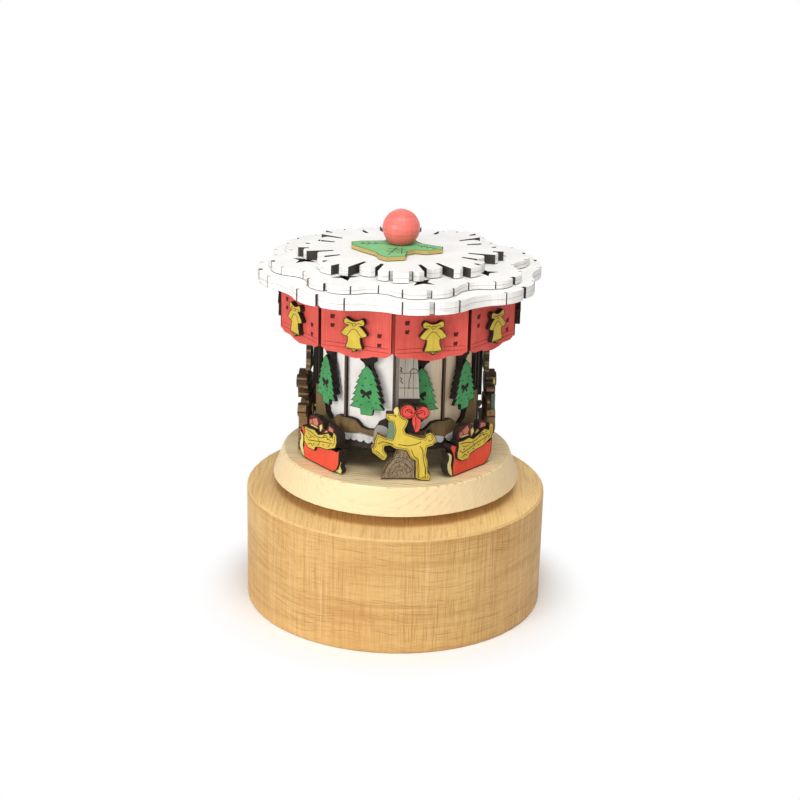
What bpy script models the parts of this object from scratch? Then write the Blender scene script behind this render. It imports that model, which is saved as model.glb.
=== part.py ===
"""Wind-up music box: a wooden drum with an 18-note movement, and a plywood carousel that turns on it.

Metres, +Z up. The origin is at the centre of the drum's bottom face. The front is -Y.
An azimuth is measured from the front towards +X, so a plate at azimuth 0 faces the front.
"""

import math

import bmesh
import bpy
from mathutils import Vector

MM = 0.001

# Clearances
fit_gap = 0.3 * MM
running_gap = 0.6 * MM

# Wooden drum and its cover
drum_radius = 55.0 * MM
drum_height = 43.1 * MM
drum_roof = 8.0 * MM
drum_edge = 0.7 * MM
cover_thickness = 4.0 * MM
cover_ledge = 2.5 * MM

# Turntable disc
disc_lift = 4.6 * MM
disc_thickness = 9.3 * MM
disc_radius = 45.3 * MM
disc_top_radius = 41.7 * MM
disc_edge = 0.5 * MM

# Winding arbor, bushing and hub
arbor_radius = 2.0 * MM
arbor_in_disc = 4.0 * MM
arbor_tail = 1.2 * MM
bushing_wall = 2.0 * MM
bushing_flange_radius = 8.0 * MM
bushing_flange = 1.1 * MM
hub_radius = 14.0 * MM
hub_thickness = 2.2 * MM
hub_screw_circle = 11.0 * MM
hub_screw_length = 7.5 * MM

# Screws
screw_head_radius = 1.8 * MM
screw_head = 1.0 * MM
screw_radius = 0.9 * MM
bedplate_screw_length = 7.0 * MM
comb_screw_length = 5.0 * MM

# Movement bedplate, with the places of its two wood screws
bedplate_thickness = 2.2 * MM
bedplate_left = -14.0 * MM
bedplate_right = 39.0 * MM
bedplate_front = -21.0 * MM
bedplate_back = 16.5 * MM
bedplate_clearance = 0.7 * MM
bedplate_screws = ((-10.5 * MM, -13.5 * MM), (24.0 * MM, 12.5 * MM))

# Spring housing and mainspring
housing_radius = 10.5 * MM
housing_flange_radius = 12.2 * MM
housing_flange = 0.7 * MM
housing_wall = 0.8 * MM
housing_height = 13.4 * MM
spring_turns = 4
spring_strip = 0.35 * MM
spring_inner_radius = 3.1 * MM
spring_height = 10.0 * MM
spring_steps = 14

# Crown wheel on the arbor and the gear that it drives
crown_teeth = 24
crown_radius = 11.9 * MM
crown_width = 2.1 * MM
crown_rim = 0.3 * MM
crown_disc = 1.4 * MM
tooth_share = 0.32
tooth_out = 0.45 * MM
tooth_in = 0.62 * MM
cylinder_gear_teeth = 12
cylinder_drop = 10.2 * MM

# Pinned cylinder
cylinder_radius = 6.0 * MM
notes = 18
note_pitch = 0.93 * MM
pin_height = 0.45 * MM
pin_width = 0.3 * MM
pins_per_note = 2
axle_radius = 1.0 * MM
lug_thickness = 1.0 * MM
lug_half_width = 3.0 * MM
end_wheel_teeth = 24
end_wheel_width = 1.2 * MM
axial_gap = 0.3 * MM

# Comb
comb_thickness = 0.7 * MM
comb_base_thickness = 1.4 * MM
comb_base_depth = 6.5 * MM
comb_short_tooth = 5.2 * MM
comb_long_tooth = 7.2 * MM
comb_tooth_share = 0.62
comb_tip_gap = 0.25 * MM

# Governor
governor_pinion_teeth = 8
governor_ratio_distance = 7.2 * MM
governor_axle_radius = 0.8 * MM
worm_wheel_teeth = 16
worm_wheel_radius = 3.6 * MM
worm_wheel_width = 1.2 * MM
worm_radius = 1.3 * MM
worm_shaft_radius = 0.6 * MM
worm_thread_length = 5.0 * MM
worm_turns = 3
fan_radius = 3.0 * MM
fan_length = 3.0 * MM
fan_thickness = 0.6 * MM
cheek_thickness = 1.0 * MM
cheek_half_width = 1.7 * MM
cheek_drop = 15.0 * MM

# Pavilion
carousel_phase = -2.4
sides = 10
pillar_radius = 8.0 * MM
pillar_height = 8.6 * MM
floor_radius = 30.8 * MM
floor_thickness = 3.2 * MM
wall_radius = 28.0 * MM
wall_thickness = 1.6 * MM
pavilion_height = 51.8 * MM
hill_thickness = 2.0 * MM
hill_valley = 3.2 * MM
hill_peaks = (5.0 * MM, 6.6 * MM, 13.8 * MM)
pole_width = 0.9 * MM
pole_depth = 1.1 * MM
pole_inset = 0.15 * MM

# Valance
valance_radius = 43.5 * MM
valance_thickness = 1.6 * MM
valance_backing = 1.0 * MM
valance_height = 16.0 * MM
valance_lobe = 2.6 * MM
valance_step = 1.25 * MM
valance_slot = 1.4 * MM

# Bells, trees and figures
bell_height = 12.0 * MM
bell_width = 9.6 * MM
bell_thickness = 1.6 * MM
bell_drop = 4.3 * MM
tree_height = 18.2 * MM
tree_width = 13.0 * MM
tree_thickness = 1.3 * MM
tree_backing = 1.3 * MM
tree_standoff = hill_thickness + fit_gap
slat_overlap = 0.2 * MM
tree_foot = 9.2 * MM
tree_teeth = 7
slat_width = 2.5 * MM
slat_above = 6.0 * MM
figure_radius = 31.8 * MM
figure_backing = 1.5 * MM
figure_face = 1.8 * MM
figure_relief = 0.8 * MM
panel_set_back = 0.45 * MM
deer_unit = 1.0 * MM
sleigh_unit = 0.96 * MM
figure_places = (
    ("deer_front", 3.5),
    ("sleigh_front_right", 48.5),
    ("deer_right", 93.0),
    ("sleigh_back_right", 137.0),
    ("deer_back", 181.5),
    ("sleigh_back_left", 225.0),
    ("deer_left", 264.5),
    ("sleigh_front_left", 308.5),
)

# Roof
roof_arms = 8
eave_phase = 12.4
eave_radius = 51.0 * MM
eave_valley = 3.6 * MM
eave_thickness = 4.1 * MM
upper_eave_radius = 46.6 * MM
upper_eave_valley = 6.0 * MM
upper_eave_thickness = 2.5 * MM
arm_notch = 1.7 * MM
arm_notch_width = 1.8 * MM
side_notch = 1.1 * MM
side_notch_width = 0.6 * MM
star_circle = 34.6 * MM
star_reach = 5.2 * MM
star_waist = 1.9 * MM
snowflake_phase = 0.5
snowflake_radius = 36.6 * MM
snowflake_thickness = 3.2 * MM
holly_radius = 17.6 * MM
holly_thickness = 1.3 * MM
ball_radius = 6.7 * MM
ball_seat_radius = 4.1 * MM
dowel_radius = 1.5 * MM

# Smoothness of round pieces
round_steps = 56
small_steps = 16

# Heights that follow from the sizes above
roof_underside = drum_height - drum_roof
bedplate_top = roof_underside - fit_gap
bedplate_bottom = bedplate_top - bedplate_thickness
cavity_radius = math.hypot(bedplate_right, bedplate_front) + bedplate_clearance
disc_bottom = drum_height + disc_lift
disc_top = disc_bottom + disc_thickness
hub_top = disc_bottom - fit_gap
hub_bottom = hub_top - hub_thickness
cylinder_z = roof_underside - cylinder_drop
cylinder_gear_radius = crown_radius * cylinder_gear_teeth / crown_teeth
crown_pitch_z = cylinder_z - cylinder_gear_radius
crown_disc_top = crown_pitch_z - tooth_in - crown_rim / 2
floor_bottom = disc_top + 2 * fit_gap + pillar_height
floor_top = floor_bottom + floor_thickness
pavilion_foot = floor_top + fit_gap
eave_bottom = pavilion_foot + pavilion_height + fit_gap
eave_top = eave_bottom + eave_thickness
upper_eave_bottom = eave_top + fit_gap
upper_eave_top = upper_eave_bottom + upper_eave_thickness
snowflake_bottom = upper_eave_top + fit_gap
snowflake_top = snowflake_bottom + snowflake_thickness
holly_bottom = snowflake_top + fit_gap
holly_top = holly_bottom + holly_thickness
valance_bottom = eave_bottom - fit_gap - valance_height
panel_half_angle = math.pi / sides
apothem_share = math.cos(panel_half_angle)


def clear_scene():
    for existing in list(bpy.data.objects):
        bpy.data.objects.remove(existing, do_unlink=True)


def material(name, colour, roughness, metallic=0.0):
    """A Principled BSDF material with a plain colour."""
    made = bpy.data.materials.new(name)
    made.use_nodes = True
    shader = made.node_tree.nodes["Principled BSDF"]
    shader.inputs["Base Color"].default_value = (*colour, 1.0)
    shader.inputs["Roughness"].default_value = roughness
    shader.inputs["Metallic"].default_value = metallic
    made.diffuse_color = (*colour, 1.0)
    return made


def object_from(mesh_builder, name):
    """An object named after its sub-part, from a filled bmesh, which is freed."""
    mesh = bpy.data.meshes.new(name)
    bmesh.ops.recalc_face_normals(mesh_builder, faces=mesh_builder.faces)
    mesh_builder.to_mesh(mesh)
    mesh_builder.free()
    made = bpy.data.objects.new(name, mesh)
    bpy.context.scene.collection.objects.link(made)
    return made


def signed_area(outline):
    total = 0.0
    for (x0, y0), (x1, y1) in zip(outline, outline[1:] + outline[:1]):
        total += x0 * y1 - x1 * y0
    return total / 2


def plate(name, outline, low, high):
    """A flat piece: the closed outline in XY, extruded from z = low to z = high."""
    outline = list(outline)
    if signed_area(outline) < 0:
        outline.reverse()
    build = bmesh.new()
    bottom = [build.verts.new((x, y, low)) for x, y in outline]
    face = build.faces.new(bottom)
    grown = bmesh.ops.extrude_face_region(build, geom=[face])
    moved = [item for item in grown["geom"] if isinstance(item, bmesh.types.BMVert)]
    bmesh.ops.translate(build, verts=moved, vec=(0.0, 0.0, high - low))
    return object_from(build, name)


def turned(name, profile, steps=round_steps):
    """A turned piece: the closed profile of (radius, height) points, spun about Z."""
    build = bmesh.new()
    points = [build.verts.new((radius, 0.0, height)) for radius, height in profile]
    edges = [build.edges.new((a, b)) for a, b in zip(points, points[1:] + points[:1])]
    bmesh.ops.spin(
        build,
        geom=points + edges,
        cent=(0.0, 0.0, 0.0),
        axis=(0.0, 0.0, 1.0),
        angle=2 * math.pi,
        steps=steps,
        use_merge=True,
    )
    bmesh.ops.remove_doubles(build, verts=build.verts, dist=1e-6)
    bmesh.ops.dissolve_degenerate(build, edges=build.edges, dist=1e-7)
    return object_from(build, name)


def rod(name, radius, start, end, steps=small_steps):
    """A round bar from one point to another."""
    start, end = Vector(start), Vector(end)
    along = end - start
    build = bmesh.new()
    bmesh.ops.create_cone(
        build,
        cap_ends=True,
        segments=steps,
        radius1=radius,
        radius2=radius,
        depth=along.length,
    )
    turn = Vector((0.0, 0.0, 1.0)).rotation_difference(along)
    bmesh.ops.rotate(build, verts=build.verts, cent=(0.0, 0.0, 0.0), matrix=turn.to_matrix())
    bmesh.ops.translate(build, verts=build.verts, vec=(start + end) / 2)
    return object_from(build, name)


def block(name, low, high):
    """A box between two corners."""
    low, high = Vector(low), Vector(high)
    build = bmesh.new()
    bmesh.ops.create_cube(build, size=1.0)
    bmesh.ops.scale(build, verts=build.verts, vec=high - low)
    bmesh.ops.translate(build, verts=build.verts, vec=(low + high) / 2)
    return object_from(build, name)


def joined(name, pieces):
    """One object that holds the meshes of several pieces, which go away."""
    build = bmesh.new()
    for piece in pieces:
        piece.data.transform(piece.matrix_basis)
        build.from_mesh(piece.data)
        bpy.data.objects.remove(piece, do_unlink=True)
    return object_from(build, name)


def boolean(target, tool, operation):
    """Adds the tool to the target or cuts it away, and removes the tool."""
    modifier = target.modifiers.new(operation.lower(), "BOOLEAN")
    modifier.operation = operation
    modifier.solver = "EXACT"
    modifier.object = tool
    graph = bpy.context.evaluated_depsgraph_get()
    result = bpy.data.meshes.new_from_object(target.evaluated_get(graph))
    target.modifiers.clear()
    target.data = result
    bpy.data.objects.remove(tool, do_unlink=True)
    return target


def add(target, *tools):
    for tool in tools:
        boolean(target, tool, "UNION")
    return target


def cut(target, *tools):
    for tool in tools:
        boolean(target, tool, "DIFFERENCE")
    return target


def finish(piece, finish_material, body):
    """Gives a piece its material, smooth round sides and the axis that it moves with."""
    piece.data.materials.clear()
    piece.data.materials.append(finish_material)
    piece.data.shade_smooth()
    piece.data.set_sharp_from_angle(angle=math.radians(35))
    piece.parent = body
    piece.matrix_parent_inverse = body.matrix_world.inverted()
    return piece


def axis_empty(name, place):
    made = bpy.data.objects.new(name, None)
    made.location = place
    made.empty_display_size = 10 * MM
    bpy.context.scene.collection.objects.link(made)
    bpy.context.view_layer.update()
    return made


def stand(piece, azimuth, radius, height):
    """Stands a plate upright: its X runs round the carousel, its Y up, its Z outwards."""
    turn = math.radians(azimuth)
    piece.location = (radius * math.sin(turn), -radius * math.cos(turn), height)
    piece.rotation_euler = (math.pi / 2, 0.0, turn)
    bpy.context.view_layer.update()
    return piece


def polar(radius, degrees):
    """A point at an azimuth, seen from above."""
    turn = math.radians(degrees)
    return radius * math.sin(turn), -radius * math.cos(turn)


def decagon(radius):
    """The corners of the pavilion's ten-sided plan."""
    step = 360 / sides
    return [polar(radius, carousel_phase + step * corner) for corner in range(sides)]


def gear_outline(teeth, radius, outer, root, share=tooth_share, phase=0.0):
    """A spur gear's outline with narrow straight teeth."""
    outline = []
    pitch = 2 * math.pi / teeth
    for tooth in range(teeth):
        middle = phase + pitch * tooth
        half = pitch * share / 2
        for size, side in ((root, -1.3), (outer, -0.8), (outer, 0.8), (root, 1.3)):
            turn = middle + side * half
            outline.append((size * math.cos(turn), size * math.sin(turn)))
    return outline


def mirrored(outline):
    return [(-x, y) for x, y in reversed(outline)]


def scaled(outline, width, height):
    """An outline stretched by one factor across and another up."""
    return [(x * width, y * height) for x, y in outline]


def build_drum(wood, body):
    """The turned drum: a cup that opens downwards, with a rebate for its cover."""
    rebate = cavity_radius + cover_ledge
    bore = arbor_radius + fit_gap + bushing_wall + fit_gap
    profile = [
        (bore, roof_underside),
        (cavity_radius, roof_underside),
        (cavity_radius, cover_thickness + fit_gap),
        (rebate, cover_thickness + fit_gap),
        (rebate, 0.0),
        (drum_radius - drum_edge / 2, 0.0),
        (drum_radius, drum_edge / 2),
        (drum_radius, drum_height - drum_edge),
        (drum_radius - drum_edge, drum_height),
        (bore, drum_height),
    ]
    drum = turned("base_drum", profile)
    depth = bedplate_screw_length - bedplate_thickness + 2 * fit_gap
    for x, y in bedplate_screws:
        hole = rod(
            "pilot_hole",
            screw_radius + fit_gap,
            (x, y, roof_underside - fit_gap),
            (x, y, roof_underside + depth),
            12,
        )
        cut(drum, hole)
    return finish(drum, wood, body)


def build_cover(wood, body):
    """The round plywood cover, set into the rebate and flush with the drum's foot."""
    radius = cavity_radius + cover_ledge - fit_gap
    profile = [
        (0.0, 0.0),
        (radius, 0.0),
        (radius, cover_thickness),
        (0.0, cover_thickness),
    ]
    return finish(turned("bottom_cover", profile), wood, body)


def screw(name, x, y, seat, length, finish_material, body):
    """A pan-head screw that points up, with its head's upper face at the seat."""
    profile = [
        (0.0, seat - screw_head),
        (screw_head_radius * 0.75, seat - screw_head),
        (screw_head_radius, seat - screw_head * 0.6),
        (screw_head_radius, seat),
        (screw_radius, seat),
        (screw_radius, seat + length - screw_radius),
        (0.0, seat + length),
    ]
    piece = turned(name, profile, 12)
    slot = block(
        "slot",
        (-screw_head_radius * 1.2, -0.25 * MM, seat - screw_head - fit_gap),
        (screw_head_radius * 1.2, 0.25 * MM, seat - screw_head * 0.5),
    )
    cut(piece, slot)
    piece.location = (x, y, 0.0)
    bpy.context.view_layer.update()
    return finish(piece, finish_material, body)


def cylinder_layout():
    """Places along X of everything on the cylinder's axle, from the crown wheel outwards."""
    gear_start = crown_radius - crown_width / 2 + 0.05 * MM
    gear_end = gear_start + crown_width - 0.2 * MM
    left_lug = gear_end + axial_gap
    start = left_lug + lug_thickness + axial_gap
    end = start + notes * note_pitch
    right_lug = end + axial_gap
    wheel_start = right_lug + lug_thickness + axial_gap
    wheel_end = wheel_start + end_wheel_width
    worm_start = wheel_end + 1.5 * MM
    return {
        "gear": (gear_start, gear_end),
        "left_lug": (left_lug, left_lug + lug_thickness),
        "cylinder": (start, end),
        "right_lug": (right_lug, right_lug + lug_thickness),
        "end_wheel": (wheel_start, wheel_end),
        "worm_wheel": (worm_start, worm_start + worm_wheel_width),
        "back_wall": (
            worm_start + worm_wheel_width + axial_gap * 3,
            worm_start + worm_wheel_width + axial_gap * 3 + cheek_thickness,
        ),
    }


def governor_layout():
    """Places of the worm's axis and the two cheeks that carry it."""
    spots = cylinder_layout()
    low, high = spots["worm_wheel"]
    wheel_tip = worm_wheel_radius
    worm_z = cylinder_z - wheel_tip - fit_gap - worm_radius
    near = governor_ratio_distance - wheel_tip - 2 * axial_gap - cheek_thickness
    fan_start = governor_ratio_distance + wheel_tip + 2 * axial_gap
    far = fan_start + fan_length + axial_gap
    return {
        "x": (low + high) / 2,
        "z": worm_z,
        "near_cheek": (near, near + cheek_thickness),
        "fan": (fan_start, fan_start + fan_length),
        "far_cheek": (far, far + cheek_thickness),
    }


def build_bedplate(metal, body):
    """The cast bedplate, with its comb post and the two lugs that carry the cylinder."""
    spots = cylinder_layout()
    plan = [
        (bedplate_left, bedplate_front),
        (bedplate_right, bedplate_front),
        (bedplate_right, bedplate_back),
        (bedplate_left, bedplate_back),
    ]
    piece = plate("movement_bedplate", plan, bedplate_bottom, bedplate_top)
    start, end = spots["cylinder"]
    comb_back = comb_tip_y() - comb_long_tooth
    post = block(
        "comb_post",
        (start - MM, comb_back - comb_base_depth, cylinder_z + comb_base_thickness / 2 + fit_gap),
        (end + MM, comb_back - MM, bedplate_top - bedplate_thickness / 2),
    )
    add(piece, post)
    lug_foot = cylinder_z - lug_half_width
    for key, reach in (("left_lug", lug_half_width), ("right_lug", governor_ratio_distance + 2 * MM)):
        low, high = spots[key]
        lug = block(
            key,
            (low, -lug_half_width, lug_foot),
            (high, reach, bedplate_top - bedplate_thickness / 2),
        )
        add(piece, lug)
        bore = rod(
            "axle_bore",
            axle_radius + fit_gap,
            (low - MM, 0.0, cylinder_z),
            (high + MM, 0.0, cylinder_z),
            16,
        )
        cut(piece, bore)
    low, high = spots["right_lug"]
    pivot = rod(
        "governor_bore",
        governor_axle_radius + fit_gap,
        (low - MM, governor_ratio_distance, cylinder_z),
        (high + MM, governor_ratio_distance, cylinder_z),
        12,
    )
    cut(piece, pivot)
    shaft = rod(
        "arbor_bore",
        arbor_radius + fit_gap,
        (0.0, 0.0, bedplate_bottom - MM),
        (0.0, 0.0, bedplate_top + MM),
    )
    cut(piece, shaft)
    for x, y in bedplate_screws:
        hole = rod(
            "screw_hole",
            screw_radius + fit_gap,
            (x, y, bedplate_bottom - MM),
            (x, y, bedplate_top + MM),
            12,
        )
        cut(piece, hole)
    for x, y in comb_screw_places():
        hole = rod(
            "comb_screw_hole",
            screw_radius + fit_gap,
            (x, y, cylinder_z),
            (x, y, cylinder_z + comb_base_thickness / 2 + comb_screw_length),
            12,
        )
        cut(piece, hole)
    return finish(piece, metal, body)


def comb_tip_y():
    """How far forward of the cylinder's axis the comb's tips stop."""
    return -(cylinder_radius + pin_height + comb_tip_gap)


def comb_screw_places():
    start, end = cylinder_layout()["cylinder"]
    y = comb_tip_y() - comb_long_tooth - comb_base_depth / 2
    inset = (end - start) / 4
    return (start + inset, y), (end - inset, y)


def build_comb(steel, body):
    """The steel comb: eighteen teeth from short to long, on a thicker base."""
    start, end = cylinder_layout()["cylinder"]
    tip = comb_tip_y()
    back = tip - comb_long_tooth - comb_base_depth
    outline = [(start - MM, back), (end + MM, back)]
    root_right = tip - comb_short_tooth
    outline.append((end + MM, root_right))
    for note in reversed(range(notes)):
        middle = start + (note + 0.5) * note_pitch
        half = note_pitch * comb_tooth_share / 2
        share = note / (notes - 1)
        root = tip - comb_long_tooth + share * (comb_long_tooth - comb_short_tooth)
        outline += [(middle + half, root), (middle + half, tip)]
        outline += [(middle - half, tip), (middle - half, root)]
    outline.append((start - MM, tip - comb_long_tooth))
    low = cylinder_z - comb_thickness / 2
    piece = plate("comb", outline, low, low + comb_thickness)
    base = block(
        "comb_base",
        (start - 0.8 * MM, back + 0.2 * MM, cylinder_z - comb_base_thickness / 2),
        (end + 0.8 * MM, tip - comb_long_tooth - 0.5 * MM, cylinder_z + comb_base_thickness / 2),
    )
    add(piece, base)
    for x, y in comb_screw_places():
        hole = rod("hole", screw_radius + fit_gap, (x, y, low - MM), (x, y, low + 2 * MM), 12)
        cut(piece, hole)
    return finish(piece, steel, body)


def build_housing(metal, body):
    """The spring housing: a flanged cup that opens towards the bedplate."""
    top = bedplate_bottom - fit_gap
    bottom = top - housing_height
    profile = [
        (arbor_radius + running_gap, bottom),
        (housing_radius, bottom),
        (housing_radius, top - housing_flange),
        (housing_flange_radius, top - housing_flange),
        (housing_flange_radius, top),
        (housing_radius - housing_wall, top),
        (housing_radius - housing_wall, bottom + housing_wall),
        (arbor_radius + running_gap, bottom + housing_wall),
    ]
    return finish(turned("spring_housing", profile, 28), metal, body)


def build_mainspring(steel, body):
    """The mainspring: a flat strip wound from the arbor out to the housing's wall."""
    outer = housing_radius - housing_wall - fit_gap - spring_strip
    count = spring_turns * spring_steps
    inner_side = []
    outer_side = []
    for step in range(count + 1):
        turn = 2 * math.pi * step / spring_steps
        radius = spring_inner_radius + (outer - spring_inner_radius) * step / count
        inner_side.append((radius * math.cos(turn), radius * math.sin(turn)))
        edge = radius + spring_strip
        outer_side.append((edge * math.cos(turn), edge * math.sin(turn)))
    outline = inner_side + outer_side[::-1]
    top = bedplate_bottom - fit_gap - (housing_height - housing_wall - spring_height) / 2
    piece = plate("mainspring", outline, top - spring_height, top)
    return finish(piece, steel, body)


def build_arbor(steel, body):
    """The winding arbor, from below the crown wheel up into the disc."""
    low = crown_disc_top - crown_disc - arbor_tail
    high = disc_bottom + arbor_in_disc
    piece = turned(
        "winding_arbor",
        [
            (0.0, low),
            (arbor_radius - 0.3 * MM, low),
            (arbor_radius, low + 0.3 * MM),
            (arbor_radius, high - 0.3 * MM),
            (arbor_radius - 0.3 * MM, high),
            (0.0, high),
        ],
        small_steps,
    )
    return finish(piece, steel, body)


def build_crown_wheel(brass, body):
    """The crown wheel: a disc whose teeth stand up along its rim."""
    outer = crown_radius + crown_width / 2 + crown_rim
    profile = [
        (arbor_radius + fit_gap, crown_disc_top - crown_disc),
        (outer, crown_disc_top - crown_disc),
        (outer, crown_disc_top),
        (arbor_radius + fit_gap, crown_disc_top),
    ]
    piece = turned("crown_wheel", profile, 32)
    teeth = []
    pitch = 2 * math.pi / crown_teeth
    for tooth in range(crown_teeth):
        middle = pitch * (tooth + 0.5)
        half = pitch * tooth_share / 2
        corners = []
        for size, side in (
            (crown_radius - crown_width / 2, -1),
            (crown_radius + crown_width / 2, -1),
            (crown_radius + crown_width / 2, 1),
            (crown_radius - crown_width / 2, 1),
        ):
            turn = middle + side * half
            corners.append((size * math.cos(turn), size * math.sin(turn)))
        teeth.append(plate("tooth", corners, crown_disc_top - crown_disc / 2, crown_pitch_z + tooth_out))
    add(piece, joined("teeth", teeth))
    return finish(piece, brass, body)


def along_x(piece, y, z):
    """Turns a piece made about Z so that its axis runs along X through (y, z)."""
    piece.rotation_euler = (math.pi / 2, 0.0, math.pi / 2)
    piece.location = (0.0, y, z)
    bpy.context.view_layer.update()
    piece.data.transform(piece.matrix_basis)
    piece.rotation_euler = (0.0, 0.0, 0.0)
    piece.location = (0.0, 0.0, 0.0)
    return piece


def build_cylinder_gear(brass, body):
    """The gear on the cylinder's axle that runs in the crown wheel's teeth."""
    low, high = cylinder_layout()["gear"]
    outline = gear_outline(
        cylinder_gear_teeth,
        cylinder_gear_radius,
        cylinder_gear_radius + tooth_out,
        cylinder_gear_radius - tooth_in,
        phase=-math.pi / 2,
    )
    piece = plate("cylinder_gear", outline, low, high)
    cut(piece, rod("bore", axle_radius + fit_gap, (0, 0, low - MM), (0, 0, high + MM), 16))
    along_x(piece, 0.0, cylinder_z)
    return finish(piece, brass, body)


def build_pin_cylinder(brass, body):
    """The pinned cylinder on its axle, with the wheel that drives the governor."""
    spots = cylinder_layout()
    start, end = spots["cylinder"]
    wheel_start, wheel_end = spots["end_wheel"]
    gear_start = spots["gear"][0]
    profile = [
        (0.0, gear_start),
        (axle_radius, gear_start),
        (axle_radius, start),
        (cylinder_radius, start),
        (cylinder_radius, end),
        (axle_radius, end),
        (axle_radius, wheel_end + axial_gap),
        (0.0, wheel_end + axial_gap),
    ]
    piece = turned("pin_cylinder", profile, 24)
    teeth_together = governor_pinion_teeth + end_wheel_teeth
    pinion_radius = governor_ratio_distance * governor_pinion_teeth / teeth_together
    wheel_radius = governor_ratio_distance - pinion_radius
    wheel = plate(
        "end_wheel",
        gear_outline(end_wheel_teeth, wheel_radius, wheel_radius + 0.3 * MM, wheel_radius - 0.5 * MM),
        wheel_start,
        wheel_end,
    )
    add(piece, wheel)
    pins = []
    for note in range(notes):
        place = start + (note + 0.5) * note_pitch
        for pin in range(pins_per_note):
            turn = 2 * math.pi * (pin / pins_per_note + (note * 7 % notes) / notes + 0.02 * pin * note)
            low_radius = cylinder_radius - pin_width
            tip_radius = cylinder_radius + pin_height
            pins.append(pin_solid(turn, place, low_radius, tip_radius))
    add(piece, joined("pins", pins))
    along_x(piece, 0.0, cylinder_z)
    return finish(piece, brass, body)


def pin_solid(turn, place, low_radius, tip_radius):
    """One small square pin that stands out of the cylinder."""
    half = pin_width / 2
    pin = block("pin", (low_radius, -half, place - half), (tip_radius, half, place + half))
    pin.rotation_euler = (0.0, 0.0, turn)
    bpy.context.view_layer.update()
    return pin


def build_governor_wheel(brass, body):
    """The governor wheel: pinion, axle and worm wheel in one piece."""
    spots = cylinder_layout()
    wheel_start, wheel_end = spots["end_wheel"]
    worm_start, worm_end = spots["worm_wheel"]
    left = spots["right_lug"][0]
    right = spots["back_wall"][1]
    piece = rod("governor_wheel", governor_axle_radius, (0, 0, left), (0, 0, right), 12)
    radius = governor_ratio_distance * governor_pinion_teeth / (governor_pinion_teeth + end_wheel_teeth)
    pinion = plate(
        "pinion",
        gear_outline(
            governor_pinion_teeth,
            radius,
            radius + 0.3 * MM,
            radius - 0.5 * MM,
            phase=math.pi + math.pi / governor_pinion_teeth,
        ),
        wheel_start,
        wheel_end,
    )
    wheel = plate(
        "worm_wheel",
        gear_outline(worm_wheel_teeth, worm_wheel_radius, worm_wheel_radius, worm_wheel_radius - 0.6 * MM),
        worm_start,
        worm_end,
    )
    add(piece, pinion, wheel)
    along_x(piece, governor_ratio_distance, cylinder_z)
    return finish(piece, brass, body)


def build_worm(steel, body):
    """The governor's worm on its shaft, with the two wings of the air-brake fan."""
    spots = governor_layout()
    near = spots["near_cheek"][0]
    far = spots["far_cheek"][1]
    piece = rod("governor_worm", worm_shaft_radius, (0, 0, near), (0, 0, far), 12)
    middle = governor_ratio_distance
    ridge = worm_thread_length / (2 * worm_turns + 1)
    profile = [(0.0, middle - worm_thread_length / 2)]
    core = worm_radius - 0.45 * MM
    for turn in range(worm_turns):
        low = middle - worm_thread_length / 2 + (2 * turn + 0.6) * ridge
        profile += [(core, low), (worm_radius, low + 0.4 * ridge), (worm_radius, low + ridge)]
        profile.append((core, low + 1.4 * ridge))
    profile.append((0.0, middle + worm_thread_length / 2))
    thread = turned("thread", profile, 12)
    low, high = spots["fan"]
    half = fan_thickness / 2
    fan = block("fan", (-fan_radius, -half, low), (fan_radius, half, high))
    add(piece, thread, fan)
    piece.rotation_euler = (-math.pi / 2, 0.0, 0.0)
    piece.location = (spots["x"], 0.0, spots["z"])
    bpy.context.view_layer.update()
    return finish(piece, steel, body)


def build_governor_frame(metal, body):
    """The governor frame: a bracket under the bedplate with two cheeks and a back wall."""
    spots = cylinder_layout()
    worm = governor_layout()
    top = bedplate_bottom - fit_gap
    under = top - 1.2 * MM
    left = worm["x"] - cheek_half_width
    right = worm["x"] + cheek_half_width
    near_low, near_high = worm["near_cheek"]
    far_low, far_high = worm["far_cheek"]
    wall_low, wall_high = spots["back_wall"]
    piece = block("governor_frame", (left, near_low, under), (wall_high, far_high, top))
    for low, high in (worm["near_cheek"], worm["far_cheek"]):
        cheek = block("cheek", (left, low, top - cheek_drop), (right, high, top - 0.3 * MM))
        add(piece, cheek)
        bore = rod(
            "worm_bore",
            worm_shaft_radius + fit_gap,
            (worm["x"], low - MM, worm["z"]),
            (worm["x"], high + MM, worm["z"]),
            12,
        )
        cut(piece, bore)
    wall = block(
        "back_wall",
        (wall_low, governor_ratio_distance - 2.5 * MM, cylinder_z - 2.0 * MM),
        (wall_high, governor_ratio_distance + 2.5 * MM, top - 0.3 * MM),
    )
    add(piece, wall)
    bore = rod(
        "axle_bore",
        governor_axle_radius + fit_gap,
        (wall_low - MM, governor_ratio_distance, cylinder_z),
        (wall_high + MM, governor_ratio_distance, cylinder_z),
        12,
    )
    cut(piece, bore)
    return finish(piece, metal, body)


def build_bushing(brass, body):
    """The flanged bushing that guides the arbor through the drum's top."""
    inner = arbor_radius + fit_gap
    sleeve = inner + bushing_wall
    bottom = bedplate_top + fit_gap
    flange_bottom = drum_height + fit_gap
    profile = [
        (inner, bottom),
        (sleeve, bottom),
        (sleeve, flange_bottom),
        (bushing_flange_radius, flange_bottom),
        (bushing_flange_radius, flange_bottom + bushing_flange),
        (inner, flange_bottom + bushing_flange),
    ]
    return finish(turned("shaft_bushing", profile, 24), brass, body)


def hub_screw_places():
    return (-hub_screw_circle, 0.0), (hub_screw_circle, 0.0)


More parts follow.
